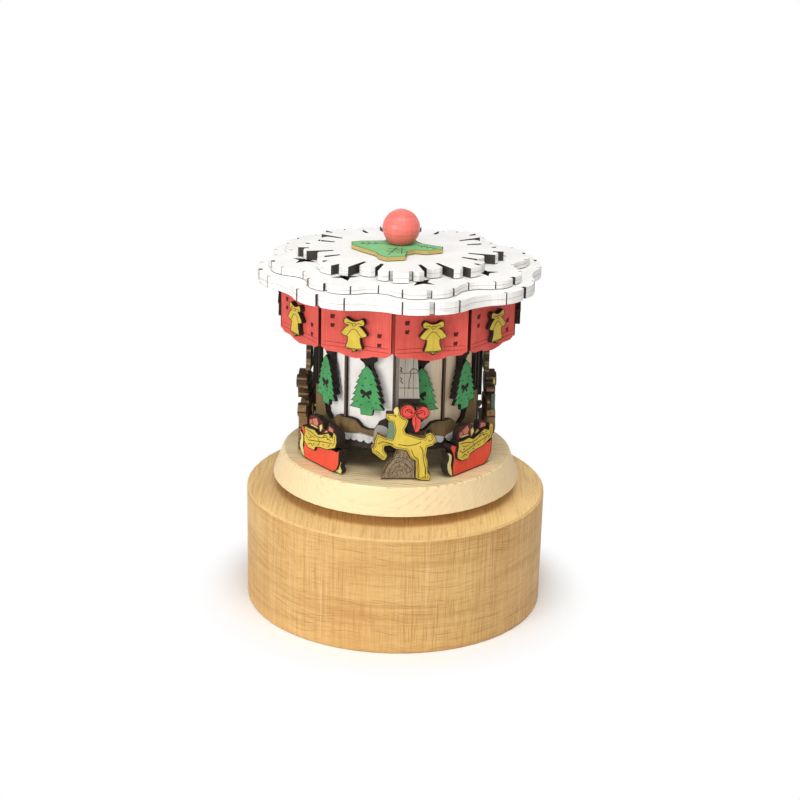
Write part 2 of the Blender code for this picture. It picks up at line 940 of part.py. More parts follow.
def build_hub(metal, body):
    """The hub flange that joins the arbor to the disc."""
    profile = [
        (arbor_radius + fit_gap, hub_bottom),
        (hub_radius, hub_bottom),
        (hub_radius, hub_top),
        (arbor_radius + fit_gap, hub_top),
    ]
    piece = turned("hub_flange", profile, 32)
    for x, y in hub_screw_places():
        hole = rod("hole", screw_radius + fit_gap, (x, y, hub_bottom - MM), (x, y, hub_top + MM), 12)
        cut(piece, hole)
    return finish(piece, metal, body)


def build_disc(wood, body):
    """The turntable disc: its edge slopes in to a smaller top."""
    bore = arbor_radius + fit_gap
    blind = disc_bottom + arbor_in_disc + fit_gap
    slope = (disc_radius - disc_top_radius) / disc_thickness
    profile = [
        (0.0, blind),
        (bore, blind),
        (bore, disc_bottom),
        (disc_radius, disc_bottom),
        (disc_top_radius + slope * disc_edge, disc_top - disc_edge),
        (disc_top_radius - disc_edge, disc_top),
        (0.0, disc_top),
    ]
    piece = turned("turntable_disc", profile)
    depth = hub_screw_length - hub_thickness
    for x, y in hub_screw_places():
        hole = rod(
            "pilot_hole",
            screw_radius + fit_gap,
            (x, y, disc_bottom - MM),
            (x, y, disc_bottom + depth),
            12,
        )
        cut(piece, hole)
    return finish(piece, wood, body)


def build_pillar(wood, body):
    """The short pillar that holds the pavilion above the disc."""
    low = disc_top + fit_gap
    profile = [
        (0.0, low),
        (pillar_radius, low),
        (pillar_radius, low + pillar_height),
        (0.0, low + pillar_height),
    ]
    return finish(turned("pavilion_pillar", profile, 24), wood, body)


def build_floor(wood, body):
    """The ten-sided floor plate of the pavilion."""
    return finish(plate("floor_plate", decagon(floor_radius), floor_bottom, floor_top), wood, body)


def build_walls(paint, body):
    """The ten wall panels, glued into one ten-sided tube."""
    top = pavilion_foot + pavilion_height
    piece = plate("wall_panels", decagon(wall_radius), pavilion_foot, top)
    inner_radius = wall_radius - wall_thickness / apothem_share
    cut(piece, plate("inside", decagon(inner_radius), pavilion_foot - MM, top + MM))
    return finish(piece, paint, body)


def face_point(side, along, apothem):
    """A point on one side of the ten-sided plan: along the side, and out from the axis."""
    turn = math.radians(carousel_phase) + (2 * side + 1) * panel_half_angle
    x = along * math.cos(turn) + apothem * math.sin(turn)
    y = along * math.sin(turn) - apothem * math.cos(turn)
    return x, y


def ring_band(name, samples):
    """A closed band round the axis: each sample is an inner and an outer point, a foot and a top."""
    build = bmesh.new()
    loops = []
    for inner, outer, foot, top in samples:
        loops.append(
            [
                build.verts.new((*inner, foot)),
                build.verts.new((*outer, foot)),
                build.verts.new((*outer, top)),
                build.verts.new((*inner, top)),
            ]
        )
    for here, there in zip(loops, loops[1:] + loops[:1]):
        for corner in range(4):
            following = (corner + 1) % 4
            build.faces.new((here[corner], there[corner], there[following], here[following]))
    return object_from(build, name)


def hill_rise(side, share):
    """Height of the hills along one side, from the pole at its left to the pole at its right."""
    count = len(hill_peaks)
    left = hill_peaks[peak_kind(side, count)]
    right = hill_peaks[peak_kind((side + 1) % sides, count)]
    nearest, distance = (left, share) if share < 0.5 else (right, 1 - share)
    shoulder, foot = 0.18, 0.44
    fall = min(max((distance - shoulder) / (foot - shoulder), 0.0), 1.0)
    return hill_valley + (nearest - hill_valley) * 0.5 * (1 + math.cos(math.pi * fall))


def peak_kind(joint, count):
    """The front joint has the lowest hill; the others take turns."""
    if joint == 0:
        return 0
    distance = min(joint, sides - joint)
    return 1 + (distance + 1) % (count - 1)


def build_hills(wood, body):
    """Hills at the walls' foot, with a thin pole up each of the ten wall joints."""
    inner = wall_radius * apothem_share + fit_gap
    outer = inner + hill_thickness
    foot = pavilion_foot
    steps = 8
    samples = []
    for side in range(sides):
        half_inner = inner * math.tan(panel_half_angle)
        half_outer = outer * math.tan(panel_half_angle)
        for step in range(steps):
            share = step / steps
            along_inner = half_inner * (2 * share - 1)
            along_outer = half_outer * (2 * share - 1)
            height = foot + hill_rise(side, share)
            samples.append(band_sample(side, along_inner, along_outer, inner, outer, foot, height))
    piece = ring_band("hills_and_poles", samples)
    near = inner / apothem_share + pole_inset
    far = near + pole_depth
    for joint in range(sides):
        azimuth = carousel_phase + joint * 360 / sides
        section = []
        for radius, sign in ((near, -1), (far, -1), (far, 1), (near, 1)):
            turn = math.degrees(pole_width / 2 / radius)
            section.append(polar(radius, azimuth + sign * turn))
        add(piece, plate("pole", section, foot + hill_valley / 2, foot + pavilion_height))
    return finish(piece, wood, body)


def band_sample(side, along_inner, along_outer, inner, outer, foot, top):
    return face_point(side, along_inner, inner), face_point(side, along_outer, outer), foot, top


def valance_drop(share):
    """How far the valance's edge hangs below its corner, from a panel's edge (0) to its middle (1)."""
    points = (
        (0.0, 0.0),
        (0.16, valance_step),
        (0.5, valance_step),
        (0.74, valance_lobe * 0.86),
        (1.0, valance_lobe),
    )
    for (x0, y0), (x1, y1) in zip(points, points[1:]):
        if share <= x1:
            local = (share - x0) / (x1 - x0)
            eased = local * local * (3 - 2 * local)
            return y0 + (y1 - y0) * eased
    return valance_lobe


def build_valance(paint, body):
    """The ten valance panels on their backing, with a slot at each joint."""
    outer = valance_radius * apothem_share
    backing = outer - valance_thickness
    inner = backing - valance_backing
    top = eave_bottom - fit_gap
    half_slot = valance_slot / 2
    steps = 12
    samples = []
    for side in range(sides):
        half_inner = inner * math.tan(panel_half_angle)
        half_backing = backing * math.tan(panel_half_angle)
        half_outer = outer * math.tan(panel_half_angle)
        samples.append(band_sample(side, -half_inner, -half_backing, inner, backing, valance_bottom, top))
        samples.append(slot_edge(side, -1, half_inner, half_backing, inner, backing, half_slot, top))
        for step in range(steps + 1):
            share = step / steps
            along_outer = (half_outer - half_slot) * (2 * share - 1)
            along_inner = (half_inner - half_slot * 1.3) * (2 * share - 1)
            foot = valance_bottom - valance_drop(1 - abs(2 * share - 1))
            samples.append(band_sample(side, along_inner, along_outer, inner, outer, foot, top))
        samples.append(slot_edge(side, 1, half_inner, half_backing, inner, backing, half_slot, top))
    return finish(ring_band("valance_panels", samples), paint, body)


def slot_edge(side, sign, half_inner, half_backing, inner, backing, half_slot, top):
    """The inside corner of the slot, on the backing just beside the joint."""
    along_inner = sign * (half_inner - half_slot * 0.8)
    along_backing = sign * (half_backing - half_slot * 0.8)
    return band_sample(side, along_inner, along_backing, inner, backing, valance_bottom, top)


# A bell with a bow, right half, as shares of its width and height from the clapper up
BELL_HALF = (
    (0.0, 0.0),
    (0.07, 0.02),
    (0.08, 0.08),
    (0.31, 0.09),
    (0.34, 0.13),
    (0.26, 0.30),
    (0.24, 0.44),
    (0.37, 0.46),
    (0.48, 0.50),
    (0.50, 0.56),
    (0.32, 0.73),
    (0.20, 0.78),
    (0.37, 0.80),
    (0.41, 0.88),
    (0.38, 0.96),
    (0.29, 1.0),
    (0.12, 0.93),
    (0.0, 0.91),
)


def bell_outline():
    half = list(BELL_HALF)
    return scaled(half + mirrored(half[1:-1]), bell_width, bell_height)


def build_bells(paint, body):
    """A gold bell with its bow on each valance panel."""
    made = []
    low = valance_radius * apothem_share + fit_gap
    foot = eave_bottom - bell_drop - bell_height
    for side in range(sides):
        piece = plate(f"bell_{side + 1:02d}", bell_outline(), 0.0, bell_thickness)
        azimuth = carousel_phase + (side + 0.5) * 360 / sides
        stand(piece, azimuth, low, foot)
        made.append(finish(piece, paint, body))
    return made


def tree_outline(rows):
    """The top rows of a fir tree's saw-toothed outline, with its short trunk below the last row."""
    trunk_share = 0.115
    right = []
    for row in range(rows):
        share = (row + 1) / tree_teeth
        tip_y = 1 - (1 - trunk_share) * share * 0.97
        tip_x = 0.5 * share**0.52
        notch_x = tip_x * 0.8
        right.append((tip_x, tip_y))
        if row < rows - 1:
            right.append((notch_x, tip_y - 0.006))
    if rows == tree_teeth:
        right.append((0.19, trunk_share + 0.01))
        right.append((0.17, 0.0))
    outline = [(0.0, 1.0)] + right
    left = mirrored(outline)
    return scaled(outline + left[:-1], tree_width, tree_height)


def build_trees(paint, body):
    """A fir tree in front of each wall panel, doubled above the hills, on a slat up behind the valance."""
    made = []
    wall = wall_radius * apothem_share + fit_gap
    foot = pavilion_foot + tree_foot
    front = tree_standoff + tree_thickness
    joint = tree_standoff + slat_overlap
    for side in range(sides):
        piece = plate(f"fir_tree_{side + 1:02d}", tree_outline(tree_teeth), tree_standoff, front)
        backing = plate("backing", tree_outline(tree_teeth - 1), tree_standoff - tree_backing, joint)
        slat = block(
            "slat",
            (-slat_width / 2, tree_height * 0.3, 0.0),
            (slat_width / 2, tree_height + slat_above, joint),
        )
        add(piece, backing, slat)
        azimuth = carousel_phase + (side + 0.5) * 360 / sides
        stand(piece, azimuth, wall, foot)
        made.append(finish(piece, paint, body))
    return made


# A leaping deer that faces left, in its own unit: across from its middle, and up from the disc
DEER_BODY = (
    (4.9, 0.9),
    (7.2, 0.0),
    (9.8, 0.0),
    (10.1, 1.8),
    (9.1, 2.9),
    (9.1, 6.9),
    (8.4, 9.3),
    (8.8, 12.4),
    (10.7, 13.0),
    (11.8, 14.8),
    (11.3, 16.4),
    (9.7, 18.0),
    (8.2, 17.3),
    (7.7, 15.7),
    (6.1, 15.9),
    (3.8, 16.7),
    (1.2, 17.6),
    (0.6, 18.8),
    (1.4, 20.3),
    (2.0, 22.2),
    (0.6, 23.6),
    (-0.9, 24.6),
    (-1.3, 26.6),
    (-2.9, 26.1),
    (-3.2, 24.8),
    (-5.8, 24.8),
    (-5.9, 23.1),
    (-4.8, 21.9),
    (-3.5, 21.6),
    (-2.9, 18.5),
    (-3.8, 15.4),
    (-6.2, 16.1),
    (-8.7, 17.3),
    (-9.7, 14.8),
    (-9.8, 13.0),
    (-10.8, 11.8),
    (-10.4, 10.4),
    (-8.7, 9.0),
    (-6.9, 7.5),
    (-5.9, 7.6),
    (-5.1, 9.2),
    (-6.4, 11.2),
    (-6.2, 12.7),
    (-4.3, 13.0),
    (-2.5, 11.8),
    (1.4, 11.2),
    (2.9, 8.4),
    (4.6, 7.5),
    (4.9, 4.4),
)
DEER_MOUND = (
    (-7.2, 0.0),
    (-6.6, 2.6),
    (-5.2, 5.4),
    (-2.9, 8.4),
    (-0.9, 12.4),
    (1.8, 12.4),
    (3.8, 9.0),
    (5.4, 5.0),
    (5.6, 0.0),
)
DEER_BACKING = (
    (-3.4, 16.2),
    (0.2, 16.0),
    (4.6, 15.2),
    (5.2, 19.6),
    (8.6, 23.0),
    (8.4, 26.4),
    (0.4, 27.0),
    (-1.6, 24.2),
    (-2.2, 19.0),
)
DEER_STONE = ((-10.2, 13.6), (-9.7, 18.2), (-8.0, 21.0), (-5.8, 22.0), (-4.2, 20.4), (-5.2, 15.0))
DEER_PANEL_FOOT = ((-1.6, 20.0), (5.8, 20.0), (5.8, 30.0), (-1.6, 30.0))
DEER_PANEL = ((-1.6, 29.0), (5.8, 29.0), (5.4, 33.0), (4.6, 46.0), (-1.6, 46.0))
DEER_BOW = ((1.5, 25.7, 2.7), (6.7, 25.3, 2.5))
DEER_BOW_TAIL = ((3.2, 21.6), (4.4, 18.2), (5.6, 18.7), (6.2, 22.0), (5.0, 26.2), (3.2, 26.2))


def round_outline(x, y, radius, steps):
    turns = [2 * math.pi * step / steps for step in range(steps)]
    return [(x + radius * math.cos(turn), y + radius * math.sin(turn)) for turn in turns]


def build_deer(name, azimuth, paint, body):
    """A leaping deer with a bow behind its neck, on a mound and a backing that ends in a tall panel."""
    face = figure_backing + figure_face
    front = face + figure_relief

    def layer(label, outline, low, high):
        return plate(label, scaled(outline, deer_unit, deer_unit), low, high)

    piece = layer(name, DEER_BODY, 0.2 * MM, face)
    add(
        piece,
        layer("mound", DEER_MOUND, 0.0, figure_backing + 0.5 * MM),
        layer("backing", DEER_BACKING, 0.1 * MM, figure_backing),
        layer("stone", DEER_STONE, 0.2 * MM, figure_backing - 0.1 * MM),
        layer("panel_foot", DEER_PANEL_FOOT, 0.3 * MM, figure_backing - 0.2 * MM),
        layer("panel", DEER_PANEL, -panel_set_back, figure_backing - 0.3 * MM),
    )
    for x, y, radius in DEER_BOW:
        add(piece, layer("loop", round_outline(x, y, radius, 12), 0.4 * MM, front))
    add(piece, layer("tail", DEER_BOW_TAIL, 0.6 * MM, front - 0.1 * MM))
    stand(piece, azimuth, figure_radius, disc_top + fit_gap)
    return finish(piece, paint, body)


# A sleigh that faces left, in its own unit: across from its middle, and up from the disc
SLEIGH_BODY = (
    (-9.4, 0.0),
    (-10.0, 3.7),
    (-9.4, 7.2),
    (-10.2, 9.4),
    (-11.6, 11.6),
    (-10.6, 12.6),
    (-7.6, 11.4),
    (-7.2, 8.6),
    (11.2, 8.6),
    (12.6, 9.6),
    (12.4, 4.0),
    (11.0, 1.4),
    (8.6, 0.0),
)
SLEIGH_DRAPE = (
    (-8.1, 13.4),
    (-5.9, 13.2),
    (-1.8, 13.6),
    (0.5, 12.4),
    (3.3, 13.3),
    (6.9, 14.8),
    (9.5, 13.7),
    (9.9, 16.3),
    (12.0, 15.3),
    (12.2, 12.5),
    (11.3, 10.2),
    (9.0, 9.2),
    (6.3, 8.0),
    (2.1, 7.6),
    (-1.1, 6.8),
    (-1.9, 5.2),
    (-5.6, 5.2),
    (-8.4, 6.9),
    (-8.6, 8.9),
    (-7.9, 11.1),
)
SLEIGH_LOAD = (
    (-6.9, 11.5),
    (-7.2, 16.0),
    (-5.6, 18.1),
    (-1.6, 18.6),
    (2.0, 17.2),
    (2.6, 14.8),
    (4.4, 15.2),
    (5.4, 17.9),
    (8.8, 17.2),
    (10.4, 15.4),
    (10.4, 11.5),
)
SLEIGH_RUNNER = (
    (-13.0, 9.9),
    (-11.6, 9.8),
    (-10.2, 8.6),
    (-10.1, 6.8),
    (-10.5, 4.7),
    (-10.0, 2.8),
    (-7.6, 1.6),
    (-7.6, 0.1),
    (-10.4, 0.2),
    (-11.9, 1.6),
    (-12.8, 3.6),
    (-12.9, 5.5),
    (-12.1, 7.0),
    (-12.1, 8.4),
)
SLEIGH_KEEL = ((-11.2, 1.2), (-11.2, 4.6), (-7.8, 4.6), (-7.8, 0.4), (-10.4, 0.4))
SLEIGH_HEEL = ((8.2, 0.3), (12.6, 0.3), (13.2, 1.6), (12.2, 3.0), (12.8, 4.8), (9.4, 5.2), (8.2, 4.0))


def build_sleigh(name, azimuth, paint, body):
    """A sleigh with its runner, a low heel at its back, a hanging drape and a load of parcels."""
    face = figure_backing + figure_face
    front = face + figure_relief

    def layer(label, outline, low, high):
        return plate(label, scaled(outline, sleigh_unit, sleigh_unit), low, high)

    piece = layer(name, SLEIGH_BODY, 0.0, face)
    add(
        piece,
        layer("keel", SLEIGH_KEEL, 0.5 * MM, figure_backing),
        layer("heel", SLEIGH_HEEL, 0.5 * MM, face - 0.8 * MM),
        layer("drape", SLEIGH_DRAPE, 0.3 * MM, front),
        layer("load", SLEIGH_LOAD, 0.6 * MM, face - 0.4 * MM),
        layer("runner", SLEIGH_RUNNER, 0.2 * MM, face - 0.2 * MM),
    )
    stand(piece, azimuth, figure_radius, disc_top + fit_gap)
    return finish(piece, paint, body)


def build_figures(gold, red, body):
    for name, azimuth in figure_places:
        if name.startswith("deer"):
            build_deer(name, azimuth, gold, body)
        else:
            build_sleigh(name, azimuth, red, body)


def round_the_roof(phase, half_arm):
    """A closed outline from one half of an arm: points of (degrees from the arm's middle, radius)."""
    outline = []
    sector = 360 / roof_arms
    for arm in range(roof_arms):
        middle = phase + sector * arm
        for degrees, radius in reversed(half_arm[1:]):
            outline.append(polar(radius, middle - degrees))
        for degrees, radius in half_arm:
            outline.append(polar(radius, middle + degrees))
    return outline


def eave_half(radius, valley, valley_notch=0.0):
    """Half an arm of a roof sheet: a lobe between the arm's notch and a side notch, then the valley."""
    wide = math.degrees(arm_notch_width / 2 / radius)
    narrow = math.degrees(side_notch_width / 2 / radius)
    side = 11.2
    side_edge = radius - valley * 0.28
    points = [
        (0.0, radius - arm_notch),
        (wide, radius - arm_notch),
        (wide, radius - 0.3 * MM),
        (2.8, radius),
        (5.6, radius),
        (8.6, radius - valley * 0.1),
        (side - narrow, side_edge),
        (side - narrow, side_edge - side_notch),
        (side + narrow, side_edge - side_notch),
        (side + narrow, side_edge),
        (14.0, radius - valley * 0.5),
        (17.0, radius - valley * 0.84),
        (19.8, radius - valley * 0.98),
    ]
    if valley_notch:
        edge = 180 / roof_arms - narrow
        points += [(edge, radius - valley), (edge, radius - valley - valley_notch)]
    else:
        points.append((21.6, radius - valley))
    return points


def dowel_bore(low, high):
    return rod("dowel_bore", dowel_radius + fit_gap, (0, 0, low - MM), (0, 0, high + MM), 12)


def build_lower_eave(paint, body):
    """The lower scalloped roof sheet, two plies thick. The dowel ends in it."""
    outline = round_the_roof(eave_phase, eave_half(eave_radius, eave_valley))
    piece = plate("lower_roof_sheet", outline, eave_bottom, eave_top)
    cut(piece, dowel_bore(eave_top - eave_thickness / 2, eave_top))
    return finish(piece, paint, body)


def build_upper_eave(paint, body):
    """The upper scalloped roof sheet, with a four-pointed star cut out of each arm."""
    outline = round_the_roof(eave_phase, eave_half(upper_eave_radius, upper_eave_valley, side_notch))
    piece = plate("upper_roof_sheet", outline, upper_eave_bottom, upper_eave_top)
    stars = []
    for arm in range(roof_arms):
        middle = eave_phase + 360 / roof_arms * arm
        centre_x, centre_y = polar(star_circle, middle)
        points = []
        for point in range(8):
            size = star_reach if point % 2 else star_waist
            turn = math.radians(middle) + math.pi * point / 4
            points.append((centre_x + size * math.cos(turn), centre_y + size * math.sin(turn)))
        stars.append(plate("star", points, upper_eave_bottom - MM, upper_eave_top + MM))
    cut(piece, joined("stars", stars), dowel_bore(upper_eave_bottom, upper_eave_top))
    return finish(piece, paint, body)


# Half an arm of the snowflake: degrees from the arm's middle, and share of the plate's radius
SNOWFLAKE_HALF = (
    (0.0, 1.0),
    (4.2, 0.995),
    (4.6, 0.89),
    (6.6, 0.89),
    (7.0, 0.935),
    (10.0, 0.95),
    (13.2, 0.93),
    (13.6, 0.67),
    (16.4, 0.67),
    (17.0, 0.82),
    (19.5, 0.845),
    (21.6, 0.85),
)


def build_snowflake(paint, body):
    """The eight-armed snowflake plate on top of the roof sheets."""
    half_arm = [(degrees, share * snowflake_radius) for degrees, share in SNOWFLAKE_HALF]
    outline = round_the_roof(snowflake_phase, half_arm)
    piece = plate("snowflake_plate", outline, snowflake_bottom, snowflake_top)
    cut(piece, dowel_bore(snowflake_bottom, snowflake_top))
    return finish(piece, paint, body)


# The leaf plate from its left leaf, by way of the front and the right one, to the narrow back one:
# degrees from the front towards +X, and share of the plate's radius
HOLLY_LEAVES = (
    (-92.0, 1.0),
    (-78.0, 1.01),
    (-57.0, 0.91),
    (-33.5, 0.93),
    (-29.0, 0.97),
    (-23.0, 1.11),
    (-13.0, 1.22),
    (5.0, 1.09),
    (11.0, 0.69),
    (28.0, 0.61),
    (41.5, 0.79),
    (62.0, 0.94),
    (74.5, 0.88),
    (78.0, 0.68),
    (90.0, 0.42),
    (119.0, 0.37),
    (151.0, 0.52),
    (168.0, 0.84),
    (183.5, 0.94),
    (197.0, 0.80),
    (213.0, 0.51),
    (240.0, 0.37),
    (253.0, 0.53),
    (261.0, 0.81),
)


def holly_outline():
    return [polar(holly_radius * share, degrees) for degrees, share in HOLLY_LEAVES]


def build_holly(paint, body):
    """The green leaf plate under the ball."""
    piece = plate("holly_plate", holly_outline(), holly_bottom, holly_top)
    cut(piece, dowel_bore(holly_bottom, holly_top))
    return finish(piece, paint, body)


def build_ball(paint, body):
    """The turned ball, on a small foot, with the dowel that pins the roof together."""
    low = holly_top + fit_gap
    centre = low + math.sqrt(ball_radius**2 - ball_seat_radius**2)
    start = math.asin(ball_seat_radius / ball_radius)
    profile = [
        (0.0, eave_top - eave_thickness / 2 + fit_gap),
        (dowel_radius, eave_top - eave_thickness / 2 + fit_gap),
        (dowel_radius, low),
    ]
    steps = 10
    for step in range(steps):
        turn = start + (math.pi - start) * step / steps
        profile.append((ball_radius * math.sin(turn), centre - ball_radius * math.cos(turn)))
    profile.append((0.0, centre + ball_radius))
    return finish(turned("finial_ball", profile, 24), paint, body)


def main():
    clear_scene()
    beech = material("beech", (0.66, 0.42, 0.19), 0.55)
    pale_wood = material("pale_wood", (0.83, 0.66, 0.42), 0.6)
    plywood = material("plywood", (0.55, 0.38, 0.20), 0.7)
    charred = material("charred_plywood", (0.06, 0.04, 0.03), 0.8)
    hill_brown = material("brown_plywood", (0.16, 0.11, 0.06), 0.7)
    white = material("white_plywood", (0.86, 0.83, 0.80), 0.6)
    red = material("red_plywood", (0.72, 0.10, 0.07), 0.55)
    gold = material("gold_plywood", (0.68, 0.50, 0.10), 0.5)
    green = material("green_plywood", (0.06, 0.30, 0.09), 0.6)
    ball_red = material("red_ball", (0.75, 0.10, 0.08), 0.4)
    steel = material("blued_steel", (0.35, 0.36, 0.38), 0.35, 1.0)
    zinc = material("zinc_casting", (0.55, 0.55, 0.53), 0.45, 1.0)
    brass = material("brass", (0.72, 0.52, 0.22), 0.3, 1.0)

    root = axis_empty("drum_frame", (0.0, 0.0, 0.0))
    turntable = axis_empty("turntable_axis", (0.0, 0.0, disc_bottom))
    cylinder = axis_empty("cylinder_axis", (cylinder_layout()["cylinder"][0], 0.0, cylinder_z))
    wheel_start = cylinder_layout()["worm_wheel"][0]
    governor = axis_empty("governor_axis", (wheel_start, governor_ratio_distance, cylinder_z))
    worm_place = governor_layout()
    worm = axis_empty("worm_axis", (worm_place["x"], governor_ratio_distance, worm_place["z"]))

    build_drum(beech, root)
    build_cover(plywood, root)
    build_bedplate(zinc, root)
    (left_x, left_y), (right_x, right_y) = bedplate_screws
    bedplate_seat = bedplate_bottom - fit_gap
    screw("bedplate_screw_left", left_x, left_y, bedplate_seat, bedplate_screw_length, steel, root)
    screw("bedplate_screw_right", right_x, right_y, bedplate_seat, bedplate_screw_length, steel, root)
    build_housing(brass, root)
    build_mainspring(steel, root)
    build_comb(steel, root)
    (left_x, left_y), (right_x, right_y) = comb_screw_places()
    comb_seat = cylinder_z - comb_base_thickness / 2 - fit_gap
    screw("comb_screw_left", left_x, left_y, comb_seat, comb_screw_length, steel, root)
    screw("comb_screw_right", right_x, right_y, comb_seat, comb_screw_length, steel, root)
    build_governor_frame(zinc, root)
    build_bushing(brass, root)

    build_arbor(steel, turntable)
    build_crown_wheel(brass, turntable)
    build_hub(zinc, turntable)
    (left_x, left_y), (right_x, right_y) = hub_screw_places()
    hub_seat = hub_bottom - fit_gap
    screw("hub_screw_left", left_x, left_y, hub_seat, hub_screw_length, steel, turntable)
    screw("hub_screw_right", right_x, right_y, hub_seat, hub_screw_length, steel, turntable)
    build_disc(pale_wood, turntable)
    build_pillar(plywood, turntable)
    build_floor(charred, turntable)
    build_walls(white, turntable)
    build_hills(hill_brown, turntable)
    build_trees(green, turntable)
    build_valance(red, turntable)
    build_bells(gold, turntable)
    build_figures(gold, red, turntable)
    build_lower_eave(white, turntable)
    build_upper_eave(white, turntable)
    build_snowflake(white, turntable)
    build_holly(green, turntable)
    build_ball(ball_red, turntable)

    build_pin_cylinder(brass, cylinder)
    build_cylinder_gear(brass, cylinder)
    build_governor_wheel(brass, governor)
    build_worm(steel, worm)


main()
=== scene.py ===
"""Wind-up music box with a turning Christmas carousel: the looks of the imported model.

Metres, +Z up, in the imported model's frame. The front is -Y, and an azimuth is measured from the
front towards +X. A figure's own place is (across, up, out), in the plane of its plate.
"""

import math
import bmesh
import bpy
from mathutils import Matrix, Vector


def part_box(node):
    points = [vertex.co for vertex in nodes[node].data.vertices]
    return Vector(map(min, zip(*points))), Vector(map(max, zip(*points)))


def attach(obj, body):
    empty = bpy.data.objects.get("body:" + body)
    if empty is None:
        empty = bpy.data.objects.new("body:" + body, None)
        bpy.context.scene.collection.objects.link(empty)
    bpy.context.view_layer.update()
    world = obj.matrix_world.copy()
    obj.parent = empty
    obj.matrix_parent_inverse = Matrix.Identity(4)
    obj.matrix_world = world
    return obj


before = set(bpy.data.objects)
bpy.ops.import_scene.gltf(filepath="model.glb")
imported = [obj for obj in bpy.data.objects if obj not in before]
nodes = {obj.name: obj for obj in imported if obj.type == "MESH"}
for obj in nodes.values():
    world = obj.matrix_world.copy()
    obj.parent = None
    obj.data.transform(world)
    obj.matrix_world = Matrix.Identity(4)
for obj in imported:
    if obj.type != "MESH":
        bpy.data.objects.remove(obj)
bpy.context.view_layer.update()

MM = 0.001

# Plan of the pavilion and its figures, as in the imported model
phase = -2.4
sides = 10
sector = 360 / sides
figure_radius = 31.8 * MM
figure_face = 3.3 * MM
figure_front = 4.1 * MM
figure_places = {
    "deer_front": 3.5,
    "sleigh_front_right": 48.5,
    "deer_right": 93.0,
    "sleigh_back_right": 137.0,
    "deer_back": 181.5,
    "sleigh_back_left": 225.0,
    "deer_left": 264.5,
    "sleigh_front_left": 308.5,
}
apothem_share = math.cos(math.pi / sides)
wall_face = 28.0 * MM * apothem_share + 0.3 * MM
hill_face = wall_face + 2.0 * MM
floor_face = 30.8 * MM * apothem_share
tree_face = 3.6 * MM
slat_face = 2.5 * MM
valance_face = 43.5 * MM * apothem_share
valance_gap = 0.3 * MM
bell_face = 1.6 * MM

# Heights taken from the frame
figure_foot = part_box("deer_front")[0].z
tree_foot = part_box("fir_tree_01")[0].z
valance_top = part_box("valance_panels")[1].z
bell_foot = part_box("bell_01")[0].z
floor_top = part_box("floor_plate")[1].z
lower_roof_low, lower_roof_top = (corner.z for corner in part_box("lower_roof_sheet"))
upper_roof_low, upper_roof_top = (corner.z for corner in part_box("upper_roof_sheet"))
snowflake_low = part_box("snowflake_plate")[0].z
holly_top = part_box("holly_plate")[1].z
ball_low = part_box("finial_ball")[0].z
ball_dowel_top = ball_low + 8.5 * MM

# Heights of the glue joints between the plies of the roof's sheets
lower_roof_joint = lower_roof_low + 2.05 * MM
upper_roof_joint = upper_roof_low + 1.25 * MM
snowflake_joint = snowflake_low + 1.6 * MM

# Depths where a figure's layers begin or end, outwards from its place, and the places of the deer's panel
# and stone and of the sleigh's load, in millimetres
deer_layers = {"panel_end": 1.32, "stone_end": 1.45, "mound": 1.75, "body": 2.6, "bow": 3.65}
sleigh_layers = {"load": 2.2, "runner": 3.0, "body": 3.2, "drape": 3.7}
panel_foot = 29.6
stone_middle = (-8.0, 15.8)
stone_radius = 4.0
stone_end = -4.0
load_foot = 7.0

# Half width and outer reach of a pole, and where white walls turn tan along X, in millimetres
pole_half_width = 0.55
pole_reach = 29.9
tan_span = (4.0, 15.0)

# How high an engraved line stands on its face
line_height = 0.05 * MM


